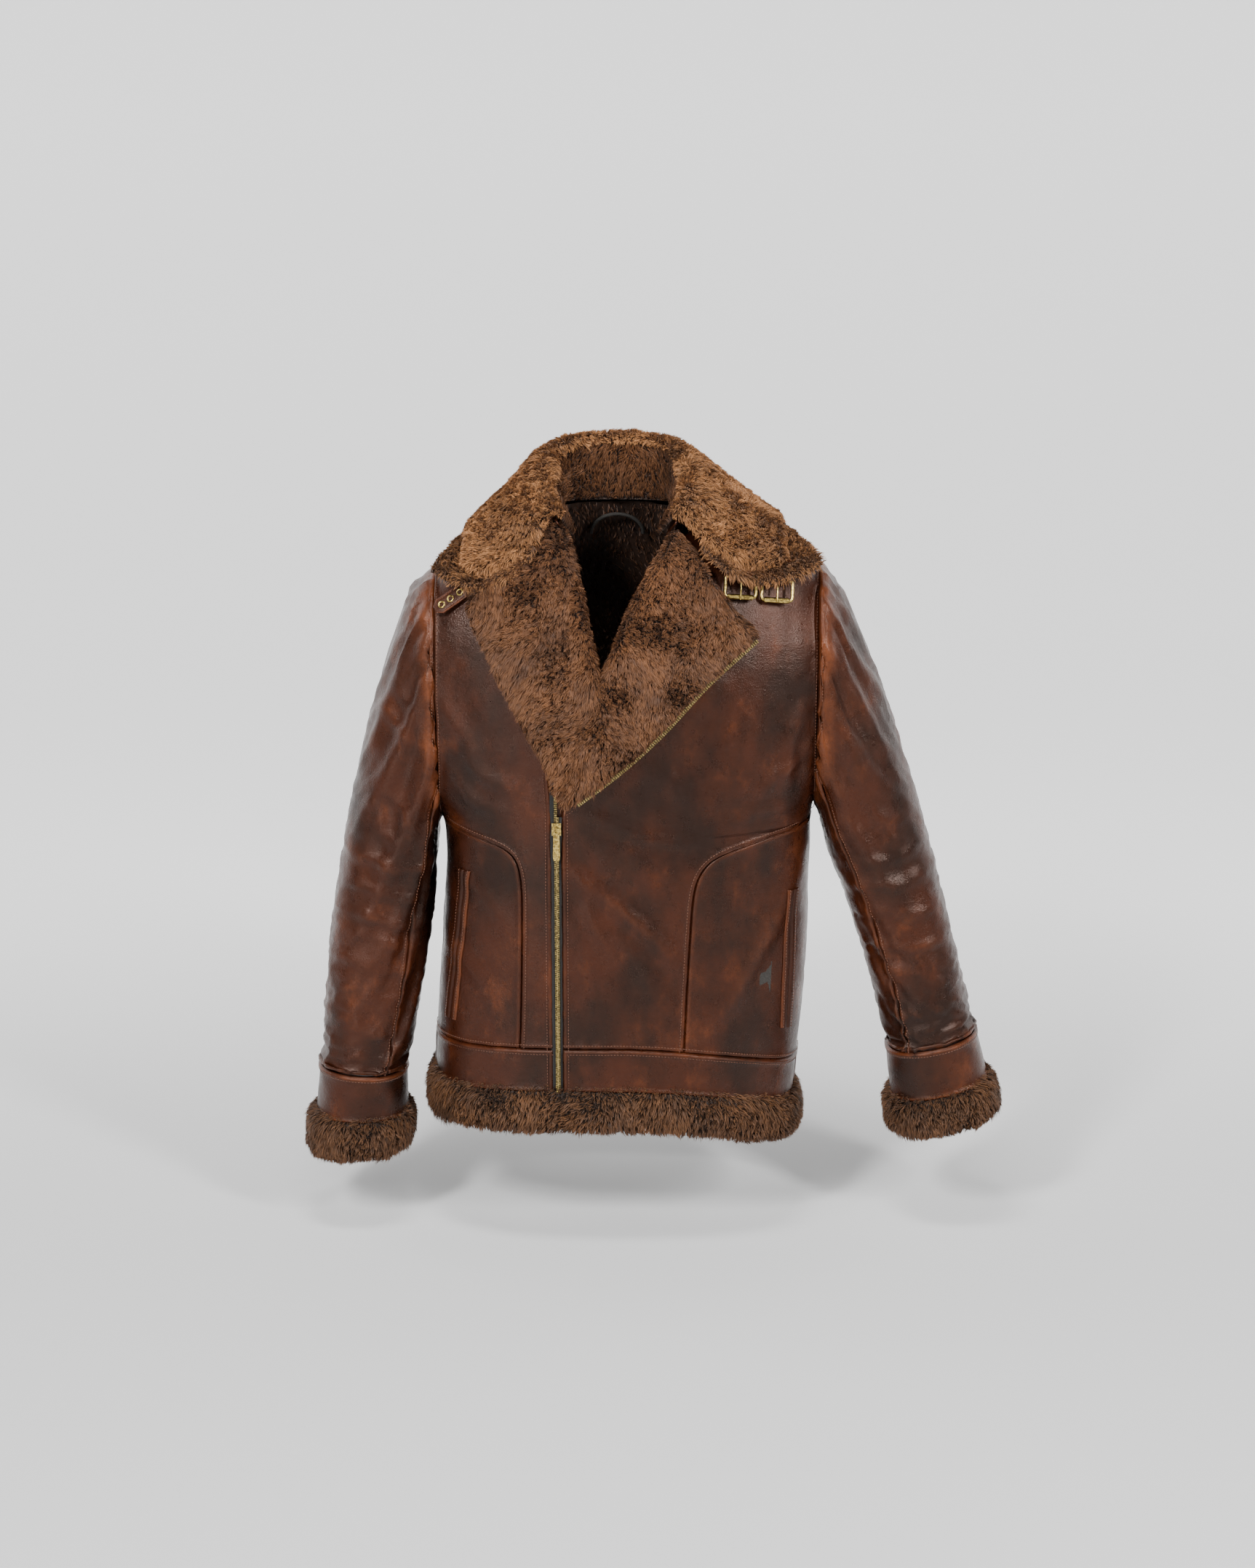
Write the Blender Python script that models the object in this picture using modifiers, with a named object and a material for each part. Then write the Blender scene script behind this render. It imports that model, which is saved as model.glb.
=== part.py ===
"""Leather riding jacket with fur collar, lapels, cuffs and hem, worn closed on a form.

Metres. The origin is the centre of the neck opening at the height of the nape; the front faces -Y,
the wearer's left is +X and +Z is up. Panels are sheets laid on one body surface and given a wall.
"""

import math

import bmesh
import bpy
from mathutils import Matrix, Vector

# ---- driving dimensions -------------------------------------------------------------------------
LEATHER = 0.0016  # wall of one leather panel
LINING = 0.0050  # fleece lining
LINING_LIFT = -0.0075  # its outer face, behind the pockets
PILE = 0.0105  # fur trim, backing and pile
GAP = 0.0003  # clearance between pieces that touch
FULLNESS = 2.6  # superellipse exponent of the body's level sections
ARMHOLE_RIGHT = 0.2030  # distance of each armhole's plane from the middle
ARMHOLE_LEFT = 0.2260
ARMPIT = -0.3900  # below this height the edges are the side seams
HEM_SEAM = -0.6190
LEATHER_END = -0.6720
FUR_END = -0.7120
YOKE_SEAM = -0.1500
NECK_TOP = -0.0140
HANG_START, HANG_LENGTH = -0.36, 0.16  # where the hem starts to dip towards the sides
HANG_RIGHT, HANG_LEFT = 0.009, 0.038  # dip at each side
SIDE = 0.21

ZIP_X = -0.0670
ZIP_HALF = 0.0052  # zip's half width between the leather edges
FLAP_RIGHT, FLAP_LEFT = 0.0090, 0.0150  # reach of the wind flap behind the zip
ZIP_TOP = -0.3510  # slider's top edge when closed
SLIDER_LENGTH = 0.0140
RIGHT_TEETH_TOP = -0.3020

# half width and depth of the body against height
HALF_RIGHT = (
    (-0.720, 0.214),
    (-0.672, 0.213),
    (-0.540, 0.206),
    (-0.447, 0.1995),
    (-0.400, 0.1985),
    (-0.366, 0.2028),
    (-0.330, 0.222),
    (-0.250, 0.247),
    (-0.170, 0.249),
    (-0.120, 0.232),
    (-0.088, 0.203),
    (-0.068, 0.163),
    (-0.048, 0.124),
    (-0.030, 0.094),
    (-0.012, 0.077),
)
HALF_LEFT = (
    (-0.720, 0.207),
    (-0.672, 0.208),
    (-0.580, 0.214),
    (-0.490, 0.2195),
    (-0.400, 0.2205),
    (-0.348, 0.2258),
    (-0.310, 0.243),
    (-0.230, 0.262),
    (-0.160, 0.262),
    (-0.110, 0.243),
    (-0.080, 0.2262),
    (-0.066, 0.182),
    (-0.048, 0.128),
    (-0.030, 0.096),
    (-0.012, 0.077),
)
DEPTH_FRONT = (
    (-0.720, 0.1243),
    (-0.600, 0.1260),
    (-0.450, 0.1281),
    (-0.300, 0.1302),
    (-0.220, 0.1270),
    (-0.160, 0.1190),
    (-0.120, 0.1080),
    (-0.090, 0.0970),
    (-0.060, 0.0820),
    (-0.035, 0.0680),
    (-0.012, 0.0560),
)
DEPTH_BACK = (
    (-0.720, 0.122),
    (-0.600, 0.126),
    (-0.450, 0.130),
    (-0.300, 0.136),
    (-0.200, 0.132),
    (-0.120, 0.119),
    (-0.070, 0.102),
    (-0.040, 0.087),
    (-0.012, 0.070),
)

# curved seam of each side panel, (x, z) from the hem up to the side
SEAM_RIGHT = (
    (-0.1110, HEM_SEAM),
    (-0.1080, -0.540),
    (-0.1065, -0.470),
    (-0.1070, -0.430),
    (-0.1110, -0.404),
    (-0.1200, -0.390),
    (-0.1350, -0.3825),
    (-0.1550, -0.3770),
    (-0.1740, -0.3730),
    (-0.1880, -0.3705),
    (-0.1970, -0.3690),
    (-0.2010, -0.3675),
)
SEAM_LEFT = (
    (0.0760, HEM_SEAM),
    (0.0795, -0.540),
    (0.0830, -0.475),
    (0.0860, -0.436),
    (0.0920, -0.414),
    (0.1040, -0.3985),
    (0.1200, -0.3895),
    (0.1450, -0.3815),
    (0.1740, -0.3750),
    (0.2080, -0.3700),
)

# lapels, (x, z): fold line and free edge from the bottom up
LAPEL_RIGHT_FOLD = (
    (-0.0600, -0.3180),
    (-0.0490, -0.2840),
    (-0.0385, -0.2520),
    (-0.0260, -0.2150),
    (-0.0375, -0.1500),
    (-0.0490, -0.0950),
    (-0.0600, -0.0500),
)
LAPEL_RIGHT_EDGE = (
    (-0.0660, -0.3130),
    (-0.0765, -0.2840),
    (-0.0910, -0.2550),
    (-0.1140, -0.2120),
    (-0.1450, -0.1500),
    (-0.1580, -0.1220),
    (-0.1555, -0.1085),
)
LAPEL_LEFT_FOLD = (
    (-0.0520, -0.3260),
    (-0.0360, -0.2740),
    (-0.0170, -0.2130),
    (0.0100, -0.1500),
    (0.0340, -0.0980),
    (0.0570, -0.0610),
)
LAPEL_LEFT_EDGE = (
    (-0.0460, -0.3240),
    (0.0020, -0.2860),
    (0.0450, -0.2460),
    (0.0890, -0.1980),
    (0.1190, -0.1700),
    (0.1490, -0.1450),
)
LAPEL_LIFT = (0.0046, 0.0060)  # height of the lapel's underside over the chest, bottom and top
LEFT_FOLD_EDGE = (
    (-0.0560, -0.3380),
    (-0.0390, -0.2750),
    (-0.0200, -0.2130),
    (0.0070, -0.1500),
    (0.0320, -0.0980),
    (0.0580, -0.0450),
    (0.0680, -0.0270),
    (0.0720, NECK_TOP),
)
RIGHT_FOLD_EDGE = (
    (-0.0722, -0.3380),
    (-0.0722, -0.2760),
    (-0.0500, -0.2480),
    (-0.0270, -0.2130),
    (-0.0390, -0.1500),
    (-0.0500, -0.0950),
    (-0.0600, -0.0450),
    (-0.0680, -0.0270),
    (-0.0720, NECK_TOP),
)

# collar, (across, y, z) from the back centre to the front end: neck seam, fold and outer edge
COLLAR_NECK = (
    (0.0, (0.0000, 0.0660, -0.0080)),
    (0.2, (0.0340, 0.0600, -0.0080)),
    (0.4, (0.0620, 0.0400, -0.0085)),
    (0.6, (0.0715, 0.0080, -0.0095)),
    (0.8, (0.0680, -0.0280, -0.0160)),
    (1.0, (0.0560, -0.0640, -0.0400)),
)
COLLAR_FOLD = (
    (0.0, (0.0000, 0.0800, 0.0440)),
    (0.2, (0.0380, 0.0730, 0.0420)),
    (0.4, (0.0690, 0.0500, 0.0350)),
    (0.6, (0.0800, 0.0100, 0.0210)),
    (0.8, (0.0800, -0.0350, 0.0010)),
    (1.0, (0.0660, -0.0800, -0.0240)),
)
COLLAR_EDGE = (
    (0.0, (0.0000, 0.1240, -0.0450)),
    (0.2, (0.0660, 0.1190, -0.0470)),
    (0.4, (0.1280, 0.0960, -0.0590)),
    (0.6, (0.1580, 0.0520, -0.0600)),
    (0.8, (0.1740, -0.0050, -0.0640)),
    (1.0, (0.1850, -0.0640, -0.0830)),
)
COLLAR_LEFT_REACH = (0.0200, 0.0, 0.0070)  # the left side's outer edge lies this much further out
COLLAR_BOW = (-0.0060, -0.0160, -0.0200)
WING_START = 0.40

# sleeves: outer and inner line as (share of length, (distance from the middle, z))
SLEEVE = {
    "right": {
        "side": -1,
        "outer": (
            (0.00, (0.2043, -0.090)),
            (0.06, (0.2330, -0.106)),
            (0.14, (0.2530, -0.154)),
            (0.25, (0.2760, -0.215)),
            (0.38, (0.2960, -0.285)),
            (0.52, (0.3140, -0.365)),
            (0.66, (0.3290, -0.447)),
            (0.80, (0.3395, -0.530)),
            (1.00, (0.3480, -0.664)),
        ),
        "inner": (
            (0.00, (0.2043, -0.364)),
            (0.06, (0.2044, -0.371)),
            (0.14, (0.2047, -0.381)),
            (0.25, (0.2052, -0.396)),
            (0.38, (0.2070, -0.420)),
            (0.52, (0.2120, -0.455)),
            (0.66, (0.2210, -0.508)),
            (0.80, (0.2330, -0.575)),
            (1.00, (0.2480, -0.671)),
        ),
        "cuff": ((0.3535, -0.7255), (0.2480, -0.7265)),
        "fur": ((0.3560, -0.7670), (0.2520, -0.7640)),
    },
    "left": {
        "side": 1,
        "outer": (
            (0.00, (0.2272, -0.082)),
            (0.06, (0.2500, -0.100)),
            (0.14, (0.2760, -0.152)),
            (0.25, (0.3070, -0.220)),
            (0.38, (0.3310, -0.290)),
            (0.52, (0.3560, -0.365)),
            (0.66, (0.3760, -0.440)),
            (0.80, (0.3960, -0.520)),
            (1.00, (0.4190, -0.622)),
        ),
        "inner": (
            (0.00, (0.2272, -0.346)),
            (0.06, (0.2275, -0.352)),
            (0.14, (0.2300, -0.361)),
            (0.25, (0.2360, -0.376)),
            (0.38, (0.2480, -0.400)),
            (0.52, (0.2650, -0.438)),
            (0.66, (0.2830, -0.490)),
            (0.80, (0.3020, -0.556)),
            (1.00, (0.3160, -0.645)),
        ),
        "cuff": ((0.4330, -0.6810), (0.3220, -0.7070)),
        "fur": ((0.4420, -0.7180), (0.3280, -0.7440)),
    },
}
SLEEVE_DEPTH = ((0.0, 0.0915), (0.2, 0.082), (0.45, 0.075), (0.7, 0.066), (1.0, 0.056))
SLEEVE_Y = ((0.0, 0.002), (0.4, -0.004), (1.0, -0.030))
SLEEVE_FULLNESS = ((0.0, 2.65), (0.2, 2.25), (1.0, 2.25))
FRONT_SEAM, BACK_SEAM = math.radians(128), math.radians(238)  # sleeve seams round the arm

# buckles and straps
BUCKLES = (("inner", 0.1370), ("outer", 0.1775))  # place along the collar's front edge
BUCKLE_DROP = (0.0, -0.0110, -0.0085)  # bar below and before the collar's edge
BUCKLE_LEAN = {"inner": 0.25, "outer": 0.42}
CHAPE_TILT, CHAPE_TAIL = math.radians(-38), 0.0085
BUCKLE_WIDTH, BUCKLE_HEIGHT, BUCKLE_WIRE = 0.0340, 0.0225, 0.0015
ROLLER_RADIUS = 0.0031
STRAP_WIDTH, STRAP_THICK = 0.0180, 0.0024
STRAP_DROP = (0.0, -0.0080, -0.0070)
STRAP_ROOT, STRAP_TIP, STRAP_LIFT = -0.1560, (-0.1940, -0.1215), 0.0080

# ---- materials ----------------------------------------------------------------------------------
MATERIALS = {
    "leather": ((0.155, 0.045, 0.018, 1), 0.42, 0.0),
    "fur": ((0.180, 0.085, 0.034, 1), 0.95, 0.0),
    "lining": ((0.120, 0.060, 0.028, 1), 0.95, 0.0),
    "brass": ((0.500, 0.360, 0.130, 1), 0.35, 1.0),
    "tape": ((0.012, 0.011, 0.011, 1), 0.85, 0.0),
    "cotton": ((0.030, 0.026, 0.022, 1), 0.9, 0.0),
}


def material_for(piece, slot):
    """One Principled material for each piece."""
    colour, roughness, metallic = MATERIALS[slot]
    material = bpy.data.materials.new(piece + "_" + slot)
    material.use_nodes = True
    shader = material.node_tree.nodes["Principled BSDF"]
    shader.inputs["Base Color"].default_value = colour
    shader.inputs["Roughness"].default_value = roughness
    shader.inputs["Metallic"].default_value = metallic
    return material


# ---- curves and surfaces ------------------------------------------------------------------------
def smooth(value):
    value = min(max(value, 0.0), 1.0)
    return value * value * (3 - 2 * value)


def spline(table, at):
    """Value at a place on the smooth curve through a table of (place, value) rows."""
    places = [row[0] for row in table]
    last = len(table) - 1
    at = min(max(at, places[0]), places[-1])
    i = min(max(k for k in range(last + 1) if places[k] <= at), last - 1)
    width = places[i + 1] - places[i]
    t = (at - places[i]) / width
    ease = t * t * (3 - 2 * t)
    ends = []
    for k in (i, i + 1):
        low, high = max(k - 1, 0), min(k + 1, last)
        ends.append((table[high][1] - table[low][1]) / (places[high] - places[low]) * width)
    rise = ends[0] * (t**3 - 2 * t * t + t) + ends[1] * (t**3 - t * t)
    return table[i][1] * (1 - ease) + table[i + 1][1] * ease + rise


def spline_point(table, at):
    """As spline, for rows whose value is a tuple."""
    parts = zip(*[row[1] for row in table])
    return Vector([spline([(row[0], v) for row, v in zip(table, part)], at) for part in parts])


def half_width(z, left):
    return spline(HALF_LEFT if left else HALF_RIGHT, z)


def body_point(theta, z):
    """Point on the body's outer face. theta 0 is the wearer's left, 90 the front, 180 the right."""
    cosine, sine = math.cos(theta), math.sin(theta)
    depth = spline(DEPTH_FRONT if sine > 0 else DEPTH_BACK, z)
    x = math.copysign(half_width(z, cosine > 0) * abs(cosine) ** (2 / FULLNESS), cosine)
    y = -math.copysign(depth * abs(sine) ** (2 / FULLNESS), sine)
    dip = HANG_LEFT if x > 0 else HANG_RIGHT
    return Vector((x, y, z - dip * smooth((HANG_START - z) / HANG_LENGTH) * (x / SIDE) ** 2))


def skin(theta, z, lift=0.0):
    """Point of the body surface moved out by lift along its normal."""
    step = 2e-4
    round_body = body_point(theta - step, z) - body_point(theta + step, z)
    up_body = body_point(theta, z + step) - body_point(theta, z - step)
    normal = round_body.cross(up_body).normalized()
    return body_point(theta, z) + normal * lift


def theta_at(x, z, back=False):
    """Angle at which the level section at z passes x, in front or behind."""
    share = min(abs(x) / half_width(z, x > 0), 1.0) ** (FULLNESS / 2)
    theta = math.acos(share)
    if x < 0:
        theta = math.pi - theta
    return 2 * math.pi - theta if back else theta


def side_angle(z, side, back=False, inset=0.0):
    """Angle of the side seam, the armhole edge or the shoulder seam at height z."""
    plane = ARMHOLE_LEFT if side > 0 else ARMHOLE_RIGHT
    if z > ARMPIT and half_width(z, side > 0) > plane:
        return theta_at(side * (plane - inset), z, back)
    depth = spline(DEPTH_BACK if back else DEPTH_FRONT, z)
    edge = math.asin(min((GAP + inset) / depth, 1.0) ** (FULLNESS / 2))
    theta = edge if side > 0 else math.pi - edge
    return 2 * math.pi - theta if back else theta


def level_row(start, end, count, lift, start_z, end_z=None):
    """Points evenly spaced along the body from one angle to another."""
    end_z = start_z if end_z is None else end_z
    fine = 6 * count
    steps = [k / fine for k in range(fine + 1)]
    points = [body_point(start + (end - start) * s, start_z + (end_z - start_z) * s) for s in steps]
    run = [0.0]
    for before, after in zip(points, points[1:]):
        run.append(run[-1] + (after - before).length)
    row = []
    for k in range(count + 1):
        want = run[-1] * k / count
        i = min(max(j for j in range(len(run)) if run[j] <= want + 1e-12), fine - 1)
        share = steps[i] + (want - run[i]) / (run[i + 1] - run[i]) / fine
        row.append(skin(start + (end - start) * share, start_z + (end_z - start_z) * share, lift))
    return row


# ---- making objects -----------------------------------------------------------------------------
for old in list(bpy.data.objects):
    bpy.data.objects.remove(old, do_unlink=True)
JACKET = bpy.data.collections.new("riding_jacket")
CUTTERS = bpy.data.collections.new("cutters")
CUTTERS.hide_render = True
for made in (JACKET, CUTTERS):
    bpy.context.scene.collection.children.link(made)


def pivot(name, place):
    """Empty that stands on a joint's axis; the moving pieces hang on it."""
    empty = bpy.data.objects.new(name, None)
    empty.location = place
    empty.empty_display_size = 0.02
    JACKET.objects.link(empty)
    return empty


def hang(obj, parent):
    """Parent an object without moving it."""
    if parent is not None:
        bpy.context.view_layer.update()
        obj.parent = parent
        obj.matrix_parent_inverse = parent.matrix_world.inverted()


def add(name, mesh, slot, parent=None):
    obj = bpy.data.objects.new(name, mesh)
    obj.data.materials.append(material_for(name, slot))
    JACKET.objects.link(obj)
    hang(obj, parent)
    return obj


def sheet(name, rows, wall, slot, parent=None, closed=False):
    """A grid laid through rows of points and thickened: inwards for a positive wall, else out."""
    up, across = len(rows), len(rows[0])
    shape = bmesh.new()
    cells = across if closed else across - 1
    bmesh.ops.create_grid(shape, x_segments=cells, y_segments=up - 1, size=1)
    for vertex in shape.verts:
        i = round((vertex.co.x + 1) / 2 * cells)
        j = round((vertex.co.y + 1) / 2 * (up - 1))
        vertex.co = rows[j][i % across]
    if closed:
        bmesh.ops.remove_doubles(shape, verts=shape.verts, dist=1e-6)
    mesh = bpy.data.meshes.new(name)
    shape.to_mesh(mesh)
    shape.free()
    mesh.shade_smooth()
    obj = add(name, mesh, slot, parent)
    solidify = obj.modifiers.new("Wall", "SOLIDIFY")
    solidify.thickness = abs(wall)
    solidify.offset = -1 if wall > 0 else 1
    return obj


def block(name, corners, slot, parent=None):
    """Straight bar between two rings of four corners, low ring first."""
    shape = bmesh.new()
    bmesh.ops.create_cube(shape, size=2)
    for vertex in shape.verts:
        low, high = corners
        ring = high if vertex.co.z > 0 else low
        right, out = vertex.co.x > 0, vertex.co.y < 0
        vertex.co = ring[(0 if not right else 1) + (2 if out else 0)]
    mesh = bpy.data.meshes.new(name)
    shape.to_mesh(mesh)
    shape.free()
    return add(name, mesh, slot, parent)


def tube(name, points, radius, slot, parent=None, cyclic=False, sides=2):
    """Wire along points, as a mesh with welded caps."""
    curve = bpy.data.curves.new(name, "CURVE")
    curve.dimensions = "3D"
    curve.bevel_depth = radius
    curve.bevel_resolution = sides
    curve.use_fill_caps = True
    path = curve.splines.new("POLY")
    path.points.add(len(points) - 1)
    path.use_cyclic_u = cyclic
    for point, place in zip(path.points, points):
        point.co = (*place, 1)
    guide = bpy.data.objects.new(name + "_path", curve)
    JACKET.objects.link(guide)
    return mesh_from(guide, name, slot, parent)


def mesh_from(guide, name, slot, parent=None):
    """The mesh that a curve makes, welded, in place of the curve."""
    bpy.context.view_layer.update()
    evaluated = guide.evaluated_get(bpy.context.evaluated_depsgraph_get())
    mesh = bpy.data.meshes.new_from_object(evaluated)
    shape = bmesh.new()
    shape.from_mesh(mesh)
    bmesh.ops.remove_doubles(shape, verts=shape.verts, dist=1e-6)
    bmesh.ops.recalc_face_normals(shape, faces=shape.faces)
    shape.to_mesh(mesh)
    shape.free()
    mesh.transform(guide.matrix_world)
    mesh.materials.clear()
    bpy.data.objects.remove(guide, do_unlink=True)
    return add(name, mesh, slot, parent)


def plate(name, outlines, thick, frame, slot, parent=None):
    """Flat outline, with any holes, extruded and set in a frame matrix."""
    curve = bpy.data.curves.new(name, "CURVE")
    curve.dimensions = "2D"
    curve.fill_mode = "BOTH"
    curve.extrude = thick / 2
    for outline in outlines:
        path = curve.splines.new("POLY")
        path.points.add(len(outline) - 1)
        path.use_cyclic_u = True
        for point, place in zip(path.points, outline):
            point.co = (*place, 0, 1)
    guide = bpy.data.objects.new(name + "_outline", curve)
    guide.matrix_world = frame
    JACKET.objects.link(guide)
    return mesh_from(guide, name, slot, parent)


def circle(radius, count, centre=(0, 0)):
    turns = [2 * math.pi * k / count for k in range(count)]
    return [(centre[0] + radius * math.cos(a), centre[1] + radius * math.sin(a)) for a in turns]


# ---- body panels --------------------------------------------------------------------------------
ARM_ROWS = (-0.366, -0.345, -0.305, -0.260, -0.215, -0.170, -0.130, -0.105, -0.0885)
SHOULDER_ROWS = (-0.078, -0.066, -0.052, -0.038, -0.026, NECK_TOP)
BACK_ROWS = (-0.560, -0.490, -0.430, -0.400) + ARM_ROWS


def edge_x(line, z):
    """x of an edge, given from the bottom up as (x, z), at height z."""
    return spline([(point[1], point[0]) for point in line], z)


def front_row(x_in, z_in, outer, z_out, side, count, lift):
    """One row of a front panel, from the wearer's right to the left."""
    inner = theta_at(x_in, z_in)
    if side < 0:
        return level_row(outer, inner, count, lift, z_out, z_in)
    return level_row(inner, outer, count, lift, z_in, z_out)


def front_panel(name, side):
    """Front from the hem seam to the shoulder, inside the curved seam of the side panel."""
    seam = SEAM_RIGHT if side < 0 else SEAM_LEFT
    fold = RIGHT_FOLD_EDGE if side < 0 else LEFT_FOLD_EDGE
    zip_edge = ZIP_X + side * ZIP_HALF
    rows = []
    for k, (x, z) in enumerate(seam):
        before, after = seam[max(k - 1, 0)], seam[min(k + 1, len(seam) - 1)]
        run = Vector((after[0] - before[0], after[1] - before[1])).normalized()
        x_edge, z_edge = x - side * abs(run.y) * GAP, z + abs(run.x) * GAP
        z_edge = max(z_edge, HEM_SEAM + 0.002)
        z_in = max(z, HEM_SEAM + 0.002)
        rows.append(front_row(zip_edge, z_in, theta_at(x_edge, z_edge), z_edge, side, 8, 0))
    for z in ARM_ROWS + SHOULDER_ROWS:
        x_in = zip_edge if z < fold[0][1] else edge_x(fold, z)
        rows.append(front_row(x_in, z, side_angle(z, side), z, side, 8, 0))
    return sheet(name, rows, LEATHER, "leather")


def side_rows(side, lift=0.0):
    """Rows of the side of the front, from the curved seam to the side seam."""
    seam = SEAM_RIGHT if side < 0 else SEAM_LEFT
    rows = []
    for k, (x, z) in enumerate(seam[:-1]):
        before, after = seam[max(k - 1, 0)], seam[k + 1]
        run = Vector((after[0] - before[0], after[1] - before[1])).normalized()
        x_edge, z_edge = x + side * abs(run.y) * GAP, z - abs(run.x) * GAP
        z_edge = max(z_edge, HEM_SEAM + 0.002)
        z_out = max(z - 0.001, HEM_SEAM + 0.002)
        rows.append(front_row(x_edge, z_edge, side_angle(z_out, side), z_out, side, 6, lift))
    return rows


def back_sheet(name, levels, count, wall, slot, lift=0.0, inset=0.0):
    """Back between the side, armhole and shoulder edges, from the wearer's left to the right."""
    rows = []
    for z in levels:
        start, end = side_angle(z, 1, True, inset), side_angle(z, -1, True, inset)
        rows.append(level_row(start, end, count, lift, z))
    return sheet(name, rows, wall, slot)


def zip_edge_angle(side, z):
    return theta_at(ZIP_X + side * ZIP_HALF, z)


def body():
    for word, side in (("right", -1), ("left", 1)):
        front_panel(word + "_front_panel", side)
        sheet(word + "_side_panel", side_rows(side), LEATHER, "leather")
    below = tuple(z for z in BACK_ROWS if z < YOKE_SEAM)
    above = tuple(z for z in BACK_ROWS if z > YOKE_SEAM)
    low = (HEM_SEAM + 0.002,) + below + (YOKE_SEAM - GAP,)
    back_sheet("back_panel", low, 14, LEATHER, "leather")
    back_sheet("back_yoke", (YOKE_SEAM + GAP,) + above + SHOULDER_ROWS, 14, LEATHER, "leather")


def hem():
    levels = (LEATHER_END, -0.645, HEM_SEAM - 0.0005)
    for word, side in (("right", -1), ("left", 1)):
        rows = []
        for z in levels:
            ends = side_angle(z, side), zip_edge_angle(side, z)
            rows.append(level_row(*ends[::-side], 9, 0.0004, z))
        sheet(word + "_hem_band", rows, LEATHER + 0.0004, "leather")
    back_sheet("back_hem_band", levels, 16, LEATHER + 0.0004, "leather", lift=0.0004)
    fur = ((FUR_END, 0.0005), (-0.702, 0.0060), (-0.687, 0.0062), (-0.6745, 0.0010))
    start = theta_at(ZIP_X + 0.0008, HEM_SEAM)
    end = theta_at(ZIP_X - 0.0008, HEM_SEAM) - 2 * math.pi
    rows = [level_row(start, end, 34, lift, z) for z, lift in fur]
    sheet("hem_fur_trim", rows, PILE, "fur")


def linings():
    """Fleece inside the body, clear of the wind flap behind the zip."""
    for word, side in (("right", -1), ("left", 1)):
        fold = RIGHT_FOLD_EDGE if side < 0 else LEFT_FOLD_EDGE
        clear = FLAP_LEFT if side > 0 else FLAP_RIGHT
        rows = []
        for z in (-0.669,) + BACK_ROWS[:-1] + SHOULDER_ROWS[:-1]:
            x_in = ZIP_X + side * (clear + 0.0010)
            if z > fold[0][1]:
                x_in = max(side * x_in, side * edge_x(fold, z) + 0.0020) * side
            outer = side_angle(z, side, inset=0.0016)
            rows.append(front_row(x_in, z, outer, z, side, 6, LINING_LIFT))
        sheet(word + "_front_lining", rows, LINING, "lining")
    levels = (-0.669,) + BACK_ROWS + SHOULDER_ROWS[:-1]
    back_sheet("back_lining", levels, 10, LINING, "lining", lift=LINING_LIFT, inset=0.0016)


# ---- pockets ------------------------------------------------------------------------------------
WELTS = {
    "right": (-1, (-0.1930, -0.5950), (-0.1715, -0.4170)),
    "left": (1, (0.1955, -0.5800), (0.1985, -0.4300)),
}


def pockets():
    for word, (side, low, high) in WELTS.items():
        welt = []
        for k in range(9):
            t = k / 8
            x, z = low[0] + (high[0] - low[0]) * t, low[1] + (high[1] - low[1]) * t
            inner, outer = theta_at(x - side * 0.0065, z), theta_at(x + side * 0.0065, z)
            ends = (outer, inner) if side < 0 else (inner, outer)
            welt.append(level_row(*ends, 3, 0.0004, z))
        sheet(word + "_pocket_welt", welt, -0.0014, "leather")
        bag = [row[1:] if side > 0 else row[:-1] for row in side_rows(side, -0.0024)[1:5]]
        sheet(word + "_pocket_bag", bag, 0.0014, "cotton")


# ---- zip ----------------------------------------------------------------------------------------
def zip_frame():
    """Straight line of the closed zip: its low end, its direction up and its outward normal."""
    low = skin(theta_at(ZIP_X, LEATHER_END), LEATHER_END)
    high = skin(theta_at(ZIP_X, ZIP_TOP), ZIP_TOP)
    up = (high - low).normalized()
    return low, up, Vector((1, 0, 0)).cross(up).normalized()


ZIP_LOW, ZIP_UP, ZIP_OUT = zip_frame()


def zip_point(x, z, lift):
    """Point x from the zip's middle, at height z, lifted from the zip's straight line."""
    return ZIP_LOW + Vector((x, 0, 0)) + ZIP_UP * ((z - ZIP_LOW.z) / ZIP_UP.z) + ZIP_OUT * lift


def zip_bar(name, x_low, x_high, z_low, z_high, inner, outer, slot, parent=None):
    rings = []
    for z in (z_low, z_high):
        rings.append([zip_point(x, z, lift) for lift in (inner, outer) for x in (x_low, x_high)])
    return block(name, rings, slot, parent)


def closed_zip():
    bottom = LEATHER_END + 0.0005
    tape, teeth = 0.0022, 0.0002
    for word, side, top in (("right", -1, RIGHT_TEETH_TOP), ("left", 1, ZIP_TOP + 0.006)):
        ends = sorted((side * (tape + GAP), side * (ZIP_HALF - GAP)))
        zip_bar("zip_tape_" + word, *ends, bottom, top, -0.0016, -0.0007, "tape")
        ends = sorted((side * teeth, side * tape))
        zip_bar("zip_teeth_" + word, *ends, bottom + 0.0035, top, -0.0014, 0.0009, "brass")
    zip_bar("zip_bottom_stop", -0.0021, 0.0021, bottom, bottom + 0.0030, -0.0014, 0.0014, "brass")
    flap = (-FLAP_RIGHT, FLAP_LEFT, bottom, -0.3050)
    zip_bar("wind_flap", *flap, -0.0062, -0.0044, "leather")


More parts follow.
